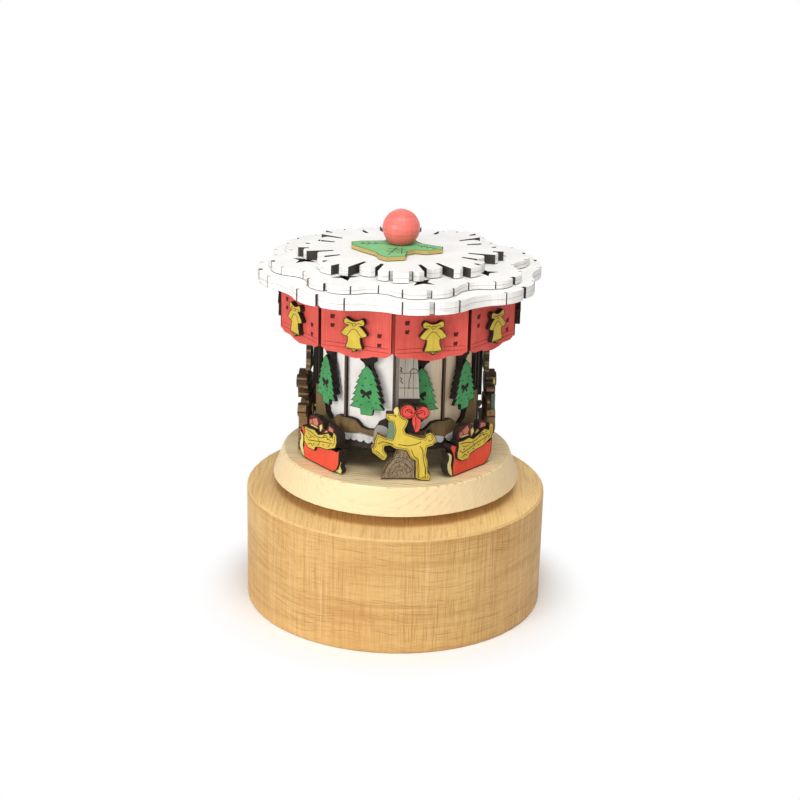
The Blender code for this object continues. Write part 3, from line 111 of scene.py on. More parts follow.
class Graph:
    """A material's node tree, with one short call for each kind of node it uses."""

    def __init__(self, name):
        self.material = bpy.data.materials.new(name)
        self.material.use_nodes = True
        self.tree = self.material.node_tree
        self.shader = self.tree.nodes["Principled BSDF"]
        self.coordinates = self.tree.nodes.new("ShaderNodeTexCoord")
        self.place = self.vector("SCALE", self.coordinates.outputs["Object"], scale=1 / MM)

    def connect(self, value, socket):
        if isinstance(value, bpy.types.NodeSocket):
            self.tree.links.new(value, socket)
        elif isinstance(value, (tuple, list)) and len(value) == 3 and len(socket.default_value) == 4:
            socket.default_value = (*value, 1.0)
        else:
            socket.default_value = value

    def vector(self, operation, first, second=None, scale=None):
        node = self.tree.nodes.new("ShaderNodeVectorMath")
        node.operation = operation
        self.connect(first, node.inputs[0])
        if second is not None:
            self.connect(second, node.inputs[1])
        if scale is not None:
            self.connect(scale, node.inputs["Scale"])
        return node.outputs["Value" if operation in ("DOT_PRODUCT", "LENGTH") else "Vector"]

    def number(self, operation, first, second=0.5, third=None):
        node = self.tree.nodes.new("ShaderNodeMath")
        node.operation = operation
        self.connect(first, node.inputs[0])
        self.connect(second, node.inputs[1])
        if third is not None:
            self.connect(third, node.inputs[2])
        return node.outputs[0]

    def split(self, vector):
        node = self.tree.nodes.new("ShaderNodeSeparateXYZ")
        self.connect(vector, node.inputs[0])
        return node.outputs[0], node.outputs[1], node.outputs[2]

    def join(self, x, y, z):
        node = self.tree.nodes.new("ShaderNodeCombineXYZ")
        for value, socket in zip((x, y, z), node.inputs):
            self.connect(value, socket)
        return node.outputs[0]

    def turned(self, vector, degrees):
        """The vector turned about the vertical axis."""
        node = self.tree.nodes.new("ShaderNodeVectorRotate")
        node.rotation_type = "Z_AXIS"
        self.connect(vector, node.inputs["Vector"])
        node.inputs["Angle"].default_value = math.radians(degrees)
        return node.outputs[0]

    def noise(self, stretch, detail=2.0, roughness=0.5, distortion=0.0, place=None):
        """Noise over the object, in millimetres: the larger the stretch, the finer along that axis."""
        node = self.tree.nodes.new("ShaderNodeTexNoise")
        self.connect(self.vector("MULTIPLY", place or self.place, stretch), node.inputs["Vector"])
        node.inputs["Scale"].default_value = 1.0
        node.inputs["Detail"].default_value = detail
        node.inputs["Roughness"].default_value = roughness
        node.inputs["Distortion"].default_value = distortion
        return node.outputs["Fac"]

    def remap(self, value, low, high, new_low=0.0, new_high=1.0):
        node = self.tree.nodes.new("ShaderNodeMapRange")
        node.interpolation_type = "SMOOTHSTEP"
        node.clamp = True
        self.connect(value, node.inputs["Value"])
        limits = {"From Min": low, "From Max": high, "To Min": new_low, "To Max": new_high}
        for label, limit in limits.items():
            node.inputs[label].default_value = limit
        return node.outputs["Result"]

    def field(self, x, y, z, wave, amount, pitch):
        """Even layers across the direction (x, y, z), bent by a wave, that count up by one per pitch."""
        level = self.vector("DOT_PRODUCT", self.place, (x / pitch, y / pitch, z / pitch))
        return self.number("MULTIPLY_ADD", wave, amount, level)

    def layer_lines(self, field, width):
        """Thin lines, 1 in their middle, one for each layer of a field; the width is a share of a layer."""
        inside = self.number("ABSOLUTE", self.number("SUBTRACT", self.number("FRACT", field), 0.5))
        return self.remap(inside, 0.5 - width, 0.5 - 0.3 * width)

    def both(self, first, second):
        return self.number("MULTIPLY", first, second)

    def above(self, value, edge):
        return self.number("GREATER_THAN", value, edge)

    def below(self, value, edge):
        return self.number("LESS_THAN", value, edge)

    def reach(self):
        """Distance from the carousel's axis, in millimetres."""
        x, y, _ = self.split(self.place)
        return self.vector("LENGTH", self.join(x, y, 0.0))

    def mix(self, share, first, second):
        node = self.tree.nodes.new("ShaderNodeMix")
        node.data_type = "RGBA"
        self.connect(share, node.inputs["Factor"])
        self.connect(first, node.inputs[6])
        self.connect(second, node.inputs[7])
        return node.outputs[2]

    def ramp(self, value, stops):
        node = self.tree.nodes.new("ShaderNodeValToRGB")
        self.connect(value, node.inputs["Fac"])
        elements = node.color_ramp.elements
        while len(elements) < len(stops):
            elements.new(0.5)
        for element, (position, colour) in zip(elements, stops):
            element.position = position
            element.color = (*colour, 1.0)
        return node.outputs["Color"]

    def finish(self, colour, roughness, height=None, depth=0.05, specular=0.35, metallic=0.0):
        self.connect(colour, self.shader.inputs["Base Color"])
        self.connect(roughness, self.shader.inputs["Roughness"])
        self.shader.inputs["Specular IOR Level"].default_value = specular
        self.shader.inputs["Metallic"].default_value = metallic
        if height is not None:
            bump = self.tree.nodes.new("ShaderNodeBump")
            bump.inputs["Strength"].default_value = 0.6
            bump.inputs["Distance"].default_value = depth * MM
            self.connect(height, bump.inputs["Height"])
            self.tree.links.new(bump.outputs[0], self.shader.inputs["Normal"])
        return self.material

    def finish_paint(self, colour, streak):
        """Matt paint, whose streaks show in its roughness and its surface."""
        return self.finish(colour, self.remap(streak, 0.3, 0.7, 0.55, 0.7), streak, 0.02, 0.3)


def linear(red, green, blue):
    """A colour as seen on a screen, from 0 to 255, as the shader takes it."""
    def channel(value):
        value /= 255
        return value / 12.92 if value <= 0.04045 else ((value + 0.055) / 1.055) ** 2.4

    return channel(red), channel(green), channel(blue)


# Colours, and the metals' shares of reflected light
beech_light = linear(222, 182, 118)
beech_mid = linear(206, 162, 96)
beech_dark = linear(168, 118, 56)
beech_pale = linear(238, 204, 148)
# Paler colour for the drum's top: painted light from above
beech_top_lit = linear(254, 216, 146)
beech_line = linear(140, 88, 42)
pine_light = linear(247, 229, 184)
pine_mid = linear(240, 215, 164)
pine_slope = linear(232, 206, 160)
pine_dark = linear(204, 166, 112)
pine_line = linear(168, 124, 74)
ply_light = linear(214, 182, 132)
ply_dark = linear(164, 122, 74)
char_deep = linear(20, 15, 12)
char_black = linear(34, 26, 21)
char_warm = linear(46, 34, 26)
char_brown = linear(74, 52, 34)
cut_brown = linear(126, 92, 54)
cut_tan = linear(176, 140, 92)
white_paint = linear(250, 249, 246)
white_shade = linear(232, 229, 224)
white_edge = linear(240, 237, 233)
# Grey for the streaks on white rims, and for the painted shade in the roof's notches
edge_line_and_shade = linear(128, 116, 108)
# Charred grey, also used as painted shade on the roof's notch walls and under its upper sheet
char_and_shade_grey = linear(62, 56, 52)
wall_paint = linear(253, 249, 243)
wall_shade = linear(226, 216, 204)
wall_tan = linear(250, 226, 192)
red_paint = linear(222, 92, 80)
red_worn = linear(196, 64, 52)
maroon = linear(92, 24, 18)
maroon_deep = linear(60, 16, 12)
valance_edge = linear(120, 60, 44)
gold_paint = linear(214, 188, 70)
gold_deep = linear(178, 148, 40)
cream = linear(226, 210, 142)
green_paint = linear(74, 156, 92)
green_deep = linear(44, 112, 56)
leaf_paint = linear(128, 196, 132)
leaf_deep = linear(92, 166, 100)
leaf_edge = linear(190, 168, 96)
scarf_paint = linear(112, 136, 108)
scarf_deep = linear(66, 88, 66)
hill_paint = linear(124, 100, 62)
hill_deep = linear(84, 64, 38)
pole_brown = linear(88, 66, 50)
grey_paint = linear(150, 146, 136)
mound_paint = linear(146, 128, 102)
mound_deep = linear(104, 86, 62)
panel_paint = linear(172, 160, 146)
bow_red = linear(226, 76, 66)
snow_grey = linear(206, 204, 203)
sleigh_paint = linear(232, 84, 56)
sleigh_deep = linear(206, 60, 42)
parcel_pink = linear(206, 128, 108)
parcel_deep = linear(176, 70, 62)
ball_paint = linear(238, 118, 108)
ball_deep = linear(222, 92, 82)
engraved = linear(58, 42, 26)
steel_grey = (0.42, 0.43, 0.45)
zinc_grey = (0.55, 0.55, 0.54)
brass_yellow = (0.74, 0.53, 0.23)


def beech():
    """Beech with long, faint, level rings in bands, crossed by fine upright rays."""
    g = Graph("beech_wood")
    wave = g.noise((0.02, 0.02, 0.016), 2.0)
    tone = g.noise((0.02, 0.02, 0.035), 2.0)
    band = g.noise((0.012, 0.012, 0.36), 3.0, 0.6, 0.2)
    ray = g.noise((0.85, 0.85, 0.012), 3.0, 0.6)
    fine = g.noise((3.2, 3.2, 0.09), 2.0, 0.6)
    hair = g.noise((0.16, 0.16, 3.6), 2.0, 0.6)
    weave = g.noise((0.05, 0.05, 0.05), 2.0)
    dash = g.noise((0.07, 0.07, 0.45), 2.0, 0.6)
    patch = g.noise((0.03, 0.03, 0.1), 1.0)
    ring = g.both(g.layer_lines(g.field(0.0, 0.0, 1.0, wave, 7.0, 2.9), 0.09), g.remap(dash, 0.4, 0.66))
    near = g.both(g.layer_lines(g.field(0.0, 0.0, 1.0, wave, 20.0, 1.0), 0.2), g.remap(patch, 0.42, 0.6))
    near = g.both(near, g.remap(dash, 0.42, 0.66))
    front = g.ramp(tone, ((0.3, beech_mid), (0.7, beech_light)))
    front = g.mix(g.remap(band, 0.42, 0.66, 0.0, 0.34), front, beech_dark)
    front = g.mix(g.remap(ray, 0.46, 0.72, 0.0, 0.26), front, beech_dark)
    front = g.mix(g.remap(ray, 0.28, 0.46, 0.3, 0.0), front, beech_pale)
    upright = g.both(g.remap(fine, 0.44, 0.7, 0.0, 0.62), g.remap(weave, 0.36, 0.6, 0.35, 1.0))
    front = g.mix(upright, front, beech_dark)
    front = g.mix(g.remap(hair, 0.46, 0.72, 0.0, 0.4), front, beech_dark)
    front = g.mix(g.remap(g.number("ADD", ring, near), 0.0, 1.0, 0.0, 0.34), front, beech_line)
    streak = g.noise((1.3, 0.05, 1.3), 3.0, 0.6)
    pore = g.noise((3.4, 0.3, 3.4), 1.0, 0.5)
    # Painted light: the top keeps its own grain, but its colours are paler than the front's to stand in for
    # the light from above.
    top = g.ramp(tone, ((0.3, beech_top_lit), (0.7, beech_light)))
    top = g.mix(g.remap(streak, 0.42, 0.7, 0.0, 0.36), top, beech_dark)
    top = g.mix(g.remap(pore, 0.6, 0.72, 0.0, 0.3), top, beech_line)
    colour = g.mix(level_face(g), front, top)
    rough = g.remap(ray, 0.3, 0.7, 0.46, 0.6)
    return g.finish(colour, rough, g.number("ADD", ray, fine), 0.02, 0.35)


def pine():
    """Pale softwood: brown grain lines across the top that turn askew down the sloping edge."""
    g = Graph("pale_softwood")
    wave = g.noise((0.008, 0.018, 0.014), 1.0)
    tone = g.noise((0.02, 0.08, 0.08), 2.0)
    gate = g.noise((0.035, 0.4, 0.4), 2.0, 0.6)
    fine = g.noise((0.1, 3.0, 3.0), 2.0, 0.6)
    pore = g.noise((0.2, 2.0, 2.0), 2.0, 0.6)
    field = g.field(0.16, 1.0, -0.9, wave, 9.0, 1.7)
    near = g.layer_lines(g.field(0.16, 1.0, -0.9, wave, 19.0, 0.8), 0.2)
    level = g.remap(level_face(g), 0.0, 1.0, 0.28, 1.0)
    colour = g.ramp(tone, ((0.3, pine_mid), (0.7, pine_light)))
    colour = g.mix(g.remap(level_face(g), 0.0, 1.0, 0.8, 0.0), colour, pine_slope)
    soft = g.both(g.layer_lines(field, 0.4), g.remap(gate, 0.36, 0.7, 0.1, 0.42))
    colour = g.mix(g.both(soft, level), colour, pine_dark)
    thin = g.both(g.layer_lines(field, 0.13), g.remap(gate, 0.46, 0.66, 0.0, 0.5))
    near = g.both(near, g.remap(pore, 0.48, 0.62, 0.0, 0.42))
    colour = g.mix(g.both(g.number("ADD", thin, near), level), colour, pine_line)
    colour = g.mix(g.remap(fine, 0.5, 0.78, 0.0, 0.22), colour, pine_dark)
    return g.finish(colour, g.remap(gate, 0.3, 0.7, 0.5, 0.62), g.number("ADD", gate, fine), 0.02, 0.3)


def outward_share(g):
    """How much a face looks away from the carousel's axis: 1 straight out, 0 across it, -1 inwards."""
    x, y, _ = g.split(g.place)
    outward = g.vector("NORMALIZE", g.join(x, y, 0.0))
    return g.vector("DOT_PRODUCT", outward, g.coordinates.outputs["Normal"])


def radial_face(g):
    """1 on faces that look away from the carousel's axis, 0 on cut edges and backs."""
    return g.remap(outward_share(g), 0.62, 0.78)


def side_face(g):
    """1 where an upright wall looks along a plate's rim, 0 where it looks away from the axis."""
    return g.remap(outward_share(g), 0.12, 0.36, 1.0, 0.0)


def level_face(g):
    """1 on faces that look up, 0 on cut edges and undersides."""
    _, _, up = g.split(g.coordinates.outputs["Normal"])
    return g.remap(up, 0.6, 0.8)


def cut_edge(g, dark, light, light_share):
    """Laser-cut plywood edge: charred, with paler patches where the glue line shows."""
    patch = g.noise((0.5, 0.5, 0.36), 2.0, 0.6)
    streak = g.noise((2.6, 2.6, 0.5), 2.0, 0.6)
    share = g.both(g.remap(patch, 0.46, 0.62), g.remap(streak, 0.3, 0.75))
    return g.mix(g.both(share, light_share), dark, light)


def banded_edge(g):
    """A thick plywood edge: tan and brown bands, each a few millimetres high, with black between them."""
    _, _, z = g.split(g.place)
    bend = g.noise((0.0, 0.0, 0.16), 0.0)
    level = g.number("MULTIPLY_ADD", bend, 4.0, g.both(z, 0.2))
    shade = g.noise((0.0, 0.0, 0.31), 0.0)
    streak = g.noise((2.2, 2.2, 0.7), 2.0, 0.6)
    band = g.ramp(shade, ((0.4, char_brown), (0.47, cut_brown), (0.53, cut_tan), (0.6, char_brown)))
    band = g.mix(g.remap(streak, 0.4, 0.72, 0.0, 0.55), band, char_black)
    return g.mix(g.layer_lines(level, 0.16), band, char_black)


def brushed(g, light, deep, amount):
    """Thin paint over wood: soft clouds and fine upright streaks."""
    cloud = g.noise((0.12, 0.12, 0.12), 3.0, 0.6)
    streak = g.noise((1.6, 1.6, 0.12), 3.0, 0.6)
    share = g.number("MULTIPLY_ADD", g.remap(cloud, 0.35, 0.7), 0.6, g.remap(streak, 0.35, 0.75, 0.0, 0.4))
    return g.mix(g.both(share, amount), light, deep), streak


def standing_paint(name, light, deep, dark_edge, light_edge):
    """An upright plate: paint on its outer face, charred cut edges."""
    g = Graph(name)
    paint, streak = brushed(g, light, deep, 0.7)
    colour = g.mix(radial_face(g), cut_edge(g, dark_edge, light_edge, 0.6), paint)
    return g.finish_paint(colour, streak)


def level_paint(name, light, deep, edge, joint=None, dark_reach=0.0, painted_shade_top=0.0):
    """A level sheet: paint on top, and streaks and a dark line at the glue joint round its cut edge.

    Walls within the dark reach, and walls of notches, are dark grey: charred, and in the roof's notches and
    star holes also painted shade. The top within its own reach lies under the sheet above and is painted
    dark grey as shade.
    """
    g = Graph(name)
    _, _, z = g.split(g.place)
    reach = g.reach()
    cloud = g.noise((0.09, 0.09, 0.09), 3.0, 0.6)
    grain = g.noise((0.25, 2.4, 2.4), 3.0, 0.6)
    share = g.number("MULTIPLY_ADD", g.remap(cloud, 0.35, 0.7), 0.7, g.remap(grain, 0.45, 0.8, 0.0, 0.3))
    top = g.mix(g.both(share, 0.5), light, deep)
    # Painted shade: the top within its own reach lies under the sheet above and is dark grey.
    if painted_shade_top:
        top = g.mix(g.remap(reach, painted_shade_top - 0.5, painted_shade_top, 1.0, 0.0), top, char_and_shade_grey)
    streak = g.noise((1.9, 1.9, 0.06), 3.0, 0.65)
    long_streak = g.noise((0.1, 0.1, 2.0), 2.0, 0.6)
    rim = g.mix(g.remap(streak, 0.54, 0.76, 0.0, 0.3), edge, edge_line_and_shade)
    rim = g.mix(g.remap(long_streak, 0.5, 0.72, 0.0, 0.26), rim, edge_line_and_shade)
    if joint is not None:
        distance = g.number("ABSOLUTE", g.number("SUBTRACT", z, joint / MM))
        rim = g.mix(g.remap(distance, 0.05, 0.16, 0.5, 0.0), rim, edge_line_and_shade)
    # Walls that look along the rim are dark grey: charred, and painted shade inside the notches.
    rim = g.mix(side_face(g), rim, char_and_shade_grey)
    # Walls within the dark reach are dark grey: charred, and in the roof's star holes and notches also
    # painted shade.
    if dark_reach:
        rim = g.mix(g.remap(reach, dark_reach - 0.6, dark_reach, 1.0, 0.0), rim, char_and_shade_grey)
    colour = g.mix(level_face(g), rim, top)
    return g.finish(colour, g.remap(cloud, 0.3, 0.7, 0.55, 0.68), grain, 0.02, 0.3)


def metal(name, colour, roughness, brushed_axis=(0.2, 0.2, 4.0)):
    """Bare metal with faint lines across the brushed axis."""
    g = Graph(name)
    line = g.noise(brushed_axis, 3.0, 0.6)
    shade = g.mix(g.remap(line, 0.3, 0.7, 0.0, 0.35), colour, tuple(0.7 * part for part in colour))
    return g.finish(shade, g.remap(line, 0.3, 0.7, roughness, roughness + 0.15), line, 0.01, 0.5, 1.0)


def plain_ply(name, light, dark):
    """Bare plywood with its grain running across."""
    g = Graph(name)
    grain = g.noise((0.06, 1.4, 1.4), 4.0, 0.6, 0.3)
    colour = g.mix(g.remap(grain, 0.42, 0.74, 0.0, 0.7), light, dark)
    return g.finish(colour, 0.65, grain, 0.02, 0.3)


def figure_graph(name, azimuth):
    """A graph with the figure's own axes: across, up and out, in millimetres."""
    g = Graph(name)
    across, minus_out, up = g.split(g.turned(g.place, -azimuth))
    out = g.number("SUBTRACT", g.number("MULTIPLY", minus_out, -1.0), figure_radius / MM)
    up = g.number("SUBTRACT", up, figure_foot / MM)
    normal_out = g.number("MULTIPLY", g.split(g.turned(g.coordinates.outputs["Normal"], -azimuth))[1], -1.0)
    return g, across, up, out, g.remap(normal_out, 0.6, 0.8)


def deer_material(name, azimuth):
    """Gold body before a grey mound and a charred backing, a red bow, and a grey upright panel and stone."""
    g, across, up, out, face = figure_graph(name, azimuth)
    gold, streak = brushed(g, gold_paint, gold_deep, 0.7)
    red, _ = brushed(g, bow_red, maroon, 0.3)
    ring_place = g.join(g.both(across, 0.9), g.both(up, 0.55), 0.0)
    ring = g.noise((1.1, 1.1, 1.1), 3.0, 0.6, 1.6, place=ring_place)
    mound = g.mix(g.remap(ring, 0.42, 0.6), mound_paint, mound_deep)
    grain = g.noise((2.6, 2.6, 0.1), 3.0, 0.6)
    panel = g.mix(g.remap(grain, 0.42, 0.7), panel_paint, grey_paint)
    panel_share = g.both(g.above(up, panel_foot), g.below(out, deer_layers["panel_end"]))
    from_stone = g.vector("SUBTRACT", g.join(across, up, 0.0), (*stone_middle, 0.0))
    stone_share = g.both(
        g.below(g.vector("LENGTH", from_stone), stone_radius),
        g.both(g.below(across, stone_end), g.below(out, deer_layers["stone_end"])),
    )
    colour = g.mix(panel_share, char_black, panel)
    colour = g.mix(stone_share, colour, grey_paint)
    for layer, paint in (("mound", mound), ("body", gold), ("bow", red)):
        colour = g.mix(g.above(out, deer_layers[layer]), colour, paint)
    colour = g.mix(face, banded_edge(g), colour)
    return g.finish_paint(colour, streak)


def sleigh_material(name, azimuth):
    """Red body with a gold drape in front, a dark red load behind and a pale gold runner."""
    g, across, up, out, face = figure_graph(name, azimuth)
    gold, streak = brushed(g, gold_paint, gold_deep, 0.7)
    red, _ = brushed(g, sleigh_paint, sleigh_deep, 0.5)
    pale, _ = brushed(g, cream, gold_paint, 0.6)
    load = g.mix(g.below(up, load_foot), maroon, pale)
    colour = char_black
    for layer, paint in (("load", load), ("runner", pale), ("body", red), ("drape", gold)):
        colour = g.mix(g.above(out, sleigh_layers[layer]), colour, paint)
    colour = g.mix(face, cut_edge(g, char_black, char_brown, 0.5), colour)
    return g.finish_paint(colour, streak)


def tree_material():
    """Green needles on the outer plate, and a charred backing and slat behind it."""
    g = Graph("fir_green")
    paint, streak = brushed(g, green_paint, green_deep, 0.7)
    plate = g.above(g.reach(), (wall_face + tree_face) / MM - 0.4)
    colour = g.mix(g.both(radial_face(g), plate), char_black, paint)
    return g.finish_paint(colour, streak)


def hill_material():
    """Brown hills, darker to their rim, and charred poles at the wall joints."""
    g = Graph("hill_brown")
    x, y, _ = g.split(g.place)
    paint, streak = brushed(g, hill_paint, hill_deep, 0.9)
    angle = g.number("DEGREES", g.number("ARCTAN2", x, g.number("MULTIPLY", y, -1.0)))
    local = g.number("WRAP", g.number("SUBTRACT", angle, phase), sector / 2, -sector / 2)
    reach = g.reach()
    distance = g.both(g.number("ABSOLUTE", local), g.both(reach, math.pi / 180))
    pole = g.both(g.below(distance, pole_half_width), g.below(reach, pole_reach))
    colour = g.mix(pole, paint, pole_brown)
    colour = g.mix(radial_face(g), char_black, colour)
    return g.finish(colour, g.remap(streak, 0.3, 0.7, 0.6, 0.75), streak, 0.02, 0.25)


def wall_material():
    """White paint, which turns tan on the panels to the right of the front."""
    g = Graph("wall_white")
    x, _, _ = g.split(g.place)
    paint, streak = brushed(g, wall_paint, wall_shade, 0.5)
    # The panels to the right of the front turn tan, streaked with a darker tan.
    tinted = g.mix(g.remap(streak, 0.4, 0.7, 0.0, 0.22), wall_tan, cut_tan)
    paint = g.mix(g.remap(x, *tan_span), paint, tinted)
    colour = g.mix(radial_face(g), char_black, paint)
    return g.finish(colour, g.remap(streak, 0.3, 0.7, 0.6, 0.72), streak, 0.02, 0.25)


def ball_material():
    """Red paint over turned wood, whose rings still show."""
    g = Graph("ball_red")
    _, _, z = g.split(g.place)
    ring = g.noise((0.08, 0.08, 1.5), 3.0, 0.6, 0.5)
    colour = g.mix(g.remap(ring, 0.42, 0.7, 0.0, 0.7), ball_paint, ball_deep)
    dowel = g.remap(z, ball_dowel_top / MM, ball_dowel_top / MM + 0.9, 1.0, 0.0)
    colour = g.mix(dowel, colour, cut_tan)
    return g.finish(colour, g.remap(ring, 0.3, 0.7, 0.36, 0.5), ring, 0.02, 0.45)


def plain_paint(name, light, deep, roughness=0.62):
    """One paint all over, for the scene's own pieces."""
    g = Graph(name)
    paint, streak = brushed(g, light, deep, 0.7)
    return g.finish(paint, roughness, streak, 0.02, 0.3)


whites = (white_paint, white_shade, white_edge)
materials = {
    "beech": beech(),
    "pine": pine(),
    "plywood": plain_ply("bare_plywood", ply_light, ply_dark),
    "charred": plain_ply("charred_plywood", char_warm, char_black),
    "wall": wall_material(),
    "hill": hill_material(),
    "tree": tree_material(),
    "valance": standing_paint("valance_red", red_paint, red_worn, maroon, valance_edge),
    "bell": standing_paint("bell_gold", gold_paint, gold_deep, char_black, char_brown),
    # The lower sheet's top, under the upper sheet, is painted dark grey as shade.
    "roof": level_paint("roof_white", *whites, lower_roof_joint, painted_shade_top=39.0),
    "upper_roof": level_paint("upper_roof_white", *whites, upper_roof_joint, dark_reach=39.4),
    "snowflake": level_paint("snowflake_white", *whites, snowflake_joint, dark_reach=28.0),
    "holly": level_paint("leaf_green", leaf_paint, leaf_deep, leaf_edge),
    "ball": ball_material(),
    "steel": metal("plain_steel", steel_grey, 0.32),
    "zinc": metal("zinc_casting", zinc_grey, 0.5, (1.2, 1.2, 1.2)),
    "brass": metal("turned_brass", brass_yellow, 0.26),
    "engraving": plain_paint("engraved_line", engraved, char_black, 0.8),
    "snow": plain_paint("snow_grey_paint", snow_grey, grey_paint),
    "notch_shade": plain_paint("painted_notch_shade", edge_line_and_shade, char_and_shade_grey, 0.7),
    "scarf": plain_paint("scarf_green", scarf_paint, scarf_deep),
    "cream": plain_paint("cream_paint", cream, gold_paint),
    "black": plain_paint("charred_black", char_black, char_deep, 0.8),
    "maroon": plain_paint("engraved_maroon", maroon, maroon_deep, 0.8),
    "parcel": plain_paint("parcel_paint", parcel_pink, parcel_deep),
}

nodes_of_material = {
    "beech": ["base_drum"],
    "plywood": ["bottom_cover"],
    "zinc": ["movement_bedplate", "governor_frame", "hub_flange"],
    "brass": [
        "spring_housing", "shaft_bushing", "crown_wheel", "pin_cylinder", "cylinder_gear", "governor_wheel"
    ],
    "steel": ["mainspring", "comb", "winding_arbor", "governor_worm"],
    "pine": ["turntable_disc"],
    "charred": ["pavilion_pillar", "floor_plate"],
    "wall": ["wall_panels"],
    "hill": ["hills_and_poles"],
    "valance": ["valance_panels"],
    "roof": ["lower_roof_sheet"],
    "upper_roof": ["upper_roof_sheet"],
    "snowflake": ["snowflake_plate"],
    "holly": ["holly_plate"],
    "ball": ["finial_ball"],
}
material_of_node = {name: label for label, names in nodes_of_material.items() for name in names}
material_of_kind = {"screw": "steel", "fir_tree": "tree", "bell": "bell"}


def paint_node(name):
    """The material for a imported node, by its name."""
    if name in material_of_node:
        return materials[material_of_node[name]]
    for kind, label in material_of_kind.items():
        if kind in name:
            return materials[label]
    figure_material = deer_material if name.startswith("deer") else sleigh_material
    return figure_material(name + "_paint", figure_places[name])


for node in nodes.values():
    node.data.materials.clear()
    node.data.materials.append(paint_node(node.name))


def standing(azimuth, radius, height):
    """Where an upright plate stands: X runs across it, Y up, and Z out from the axis."""
    turn = math.radians(azimuth)
    across = Vector((math.cos(turn), math.sin(turn), 0.0))
    out = Vector((math.sin(turn), -math.cos(turn), 0.0))
    matrix = Matrix((across, Vector((0.0, 0.0, 1.0)), out)).transposed().to_4x4()
    matrix.translation = out * radius + Vector((0.0, 0.0, height))
    return matrix


def lying(azimuth, height):
    """Where a level detail lies: X runs across, Y inwards from the front, and Z up."""
    return Matrix.Translation((0.0, 0.0, height)) @ Matrix.Rotation(math.radians(azimuth), 4, "Z")


class Piece:
    """A piece of the scene that gathers plates and lines, and becomes one mesh at the end."""

    def __init__(self, name, material, slot, body="turntable"):
        self.name = name
        self.mesh = bmesh.new()
        self.material = material
        self.slot = slot
        self.body = body

    def prism(self, matrix, outline, low, high):
        """A flat plate between two depths, from an outline in the plate's own plane."""
        area = sum(a[0] * b[1] - b[0] * a[1] for a, b in zip(outline, outline[1:] + outline[:1]))
        if area < 0:
            outline = outline[::-1]
        bottom = [self.mesh.verts.new(matrix @ Vector((x, y, low))) for x, y in outline]
        top = [self.mesh.verts.new(matrix @ Vector((x, y, high))) for x, y in outline]
        self.mesh.faces.new(top)
        self.mesh.faces.new(bottom[::-1])
        for i in range(len(outline)):
            j = (i + 1) % len(outline)
            self.mesh.faces.new((bottom[i], bottom[j], top[j], top[i]))

    def line(self, matrix, points, depth, width, closed=False):
        """A line of even width, engraved or inlaid, along points in the plate's own plane."""
        count = len(points)
        left, right = [], []
        for i, (x, y) in enumerate(points):
            before = points[i - 1] if i or closed else points[0]
            after = points[(i + 1) % count] if i < count - 1 or closed else points[-1]
            along = Vector((after[0] - before[0], after[1] - before[1]))
            if along.length == 0:
                along = Vector((1.0, 0.0))
            along.normalize()
            side = Vector((-along.y, along.x)) * width / 2
            left.append((x + side.x, y + side.y))
            right.append((x - side.x, y - side.y))
        top = depth + line_height
        rows = []
        for (lx, ly), (rx, ry) in zip(left, right):
            section = ((lx, ly, depth), (lx, ly, top), (rx, ry, top), (rx, ry, depth))
            rows.append([self.mesh.verts.new(matrix @ Vector(corner)) for corner in section])
        for i in range(count if closed else count - 1):
            a, b = rows[i], rows[(i + 1) % count]
            for k in range(4):
                self.mesh.faces.new((a[k], b[k], b[(k + 1) % 4], a[(k + 1) % 4]))
        if not closed:
            self.mesh.faces.new(rows[0][::-1])
            self.mesh.faces.new(rows[-1])

    def finish(self):
        bmesh.ops.recalc_face_normals(self.mesh, faces=self.mesh.faces)
        mesh = bpy.data.meshes.new(self.name)
        self.mesh.to_mesh(mesh)
        self.mesh.free()
        mesh.materials.append(materials[self.material])
        made = bpy.data.objects.new(self.name, mesh)
        bpy.context.scene.collection.objects.link(made)
        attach(made, self.body)


def in_mm(points):
    return [(x * MM, y * MM) for x, y in points]


def arc(x, y, radius, start, end, steps=8, squash=1.0):
    """Points on an arc, in millimetres, with angles in degrees."""
    turns = [math.radians(start + (end - start) * step / steps) for step in range(steps + 1)]
    return [(x + radius * math.cos(turn), y + radius * squash * math.sin(turn)) for turn in turns]


def face_rims(node, matrix, depth):
    """The rims of a node's flat face at a depth of a plate's own frame, as closed loops of points."""
    inverse = matrix.inverted()
    mesh = nodes[node].data
    flat = [inverse @ vertex.co for vertex in mesh.vertices]
    key = [(round(p.x / MM, 3), round(p.y / MM, 3)) for p in flat]
    edges = {}
    for polygon in mesh.polygons:
        if any(abs(flat[v].z - depth) > 0.02 * MM for v in polygon.vertices):
            continue
        corners = [key[v] for v in polygon.vertices]
        for a, b in zip(corners, corners[1:] + corners[:1]):
            if (b, a) in edges:
                del edges[(b, a)]
            else:
                edges[(a, b)] = True
    after = {}
    for a, b in edges:
        after.setdefault(a, []).append(b)
    loops = []
    while after:
        start = next(iter(after))
        loop = [start]
        here = start
        while after.get(here):
            ahead = after[here].pop()
            if not after[here]:
                del after[here]
            if ahead == start:
                break
            loop.append(ahead)
            here = ahead
        if len(loop) > 2:
            loops.append([(x * MM, y * MM) for x, y in loop])
    return loops


def inset(loop, distance):
    """A closed loop moved inwards; the face lies on its left."""
    made = []
    count = len(loop)
    for i in range(count):
        before, here, after = loop[i - 1], loop[i], loop[(i + 1) % count]
        first = Vector((here[0] - before[0], here[1] - before[1])).normalized()
        second = Vector((after[0] - here[0], after[1] - here[1])).normalized()
        side = Vector((-first.y - second.y, first.x + second.x))
        if side.length < 1e-6:
            continue
        side.normalize()
        share = max(0.5, side.dot(Vector((-first.y, first.x))))
        made.append((here[0] + side.x * distance / share, here[1] + side.y * distance / share))
    return made


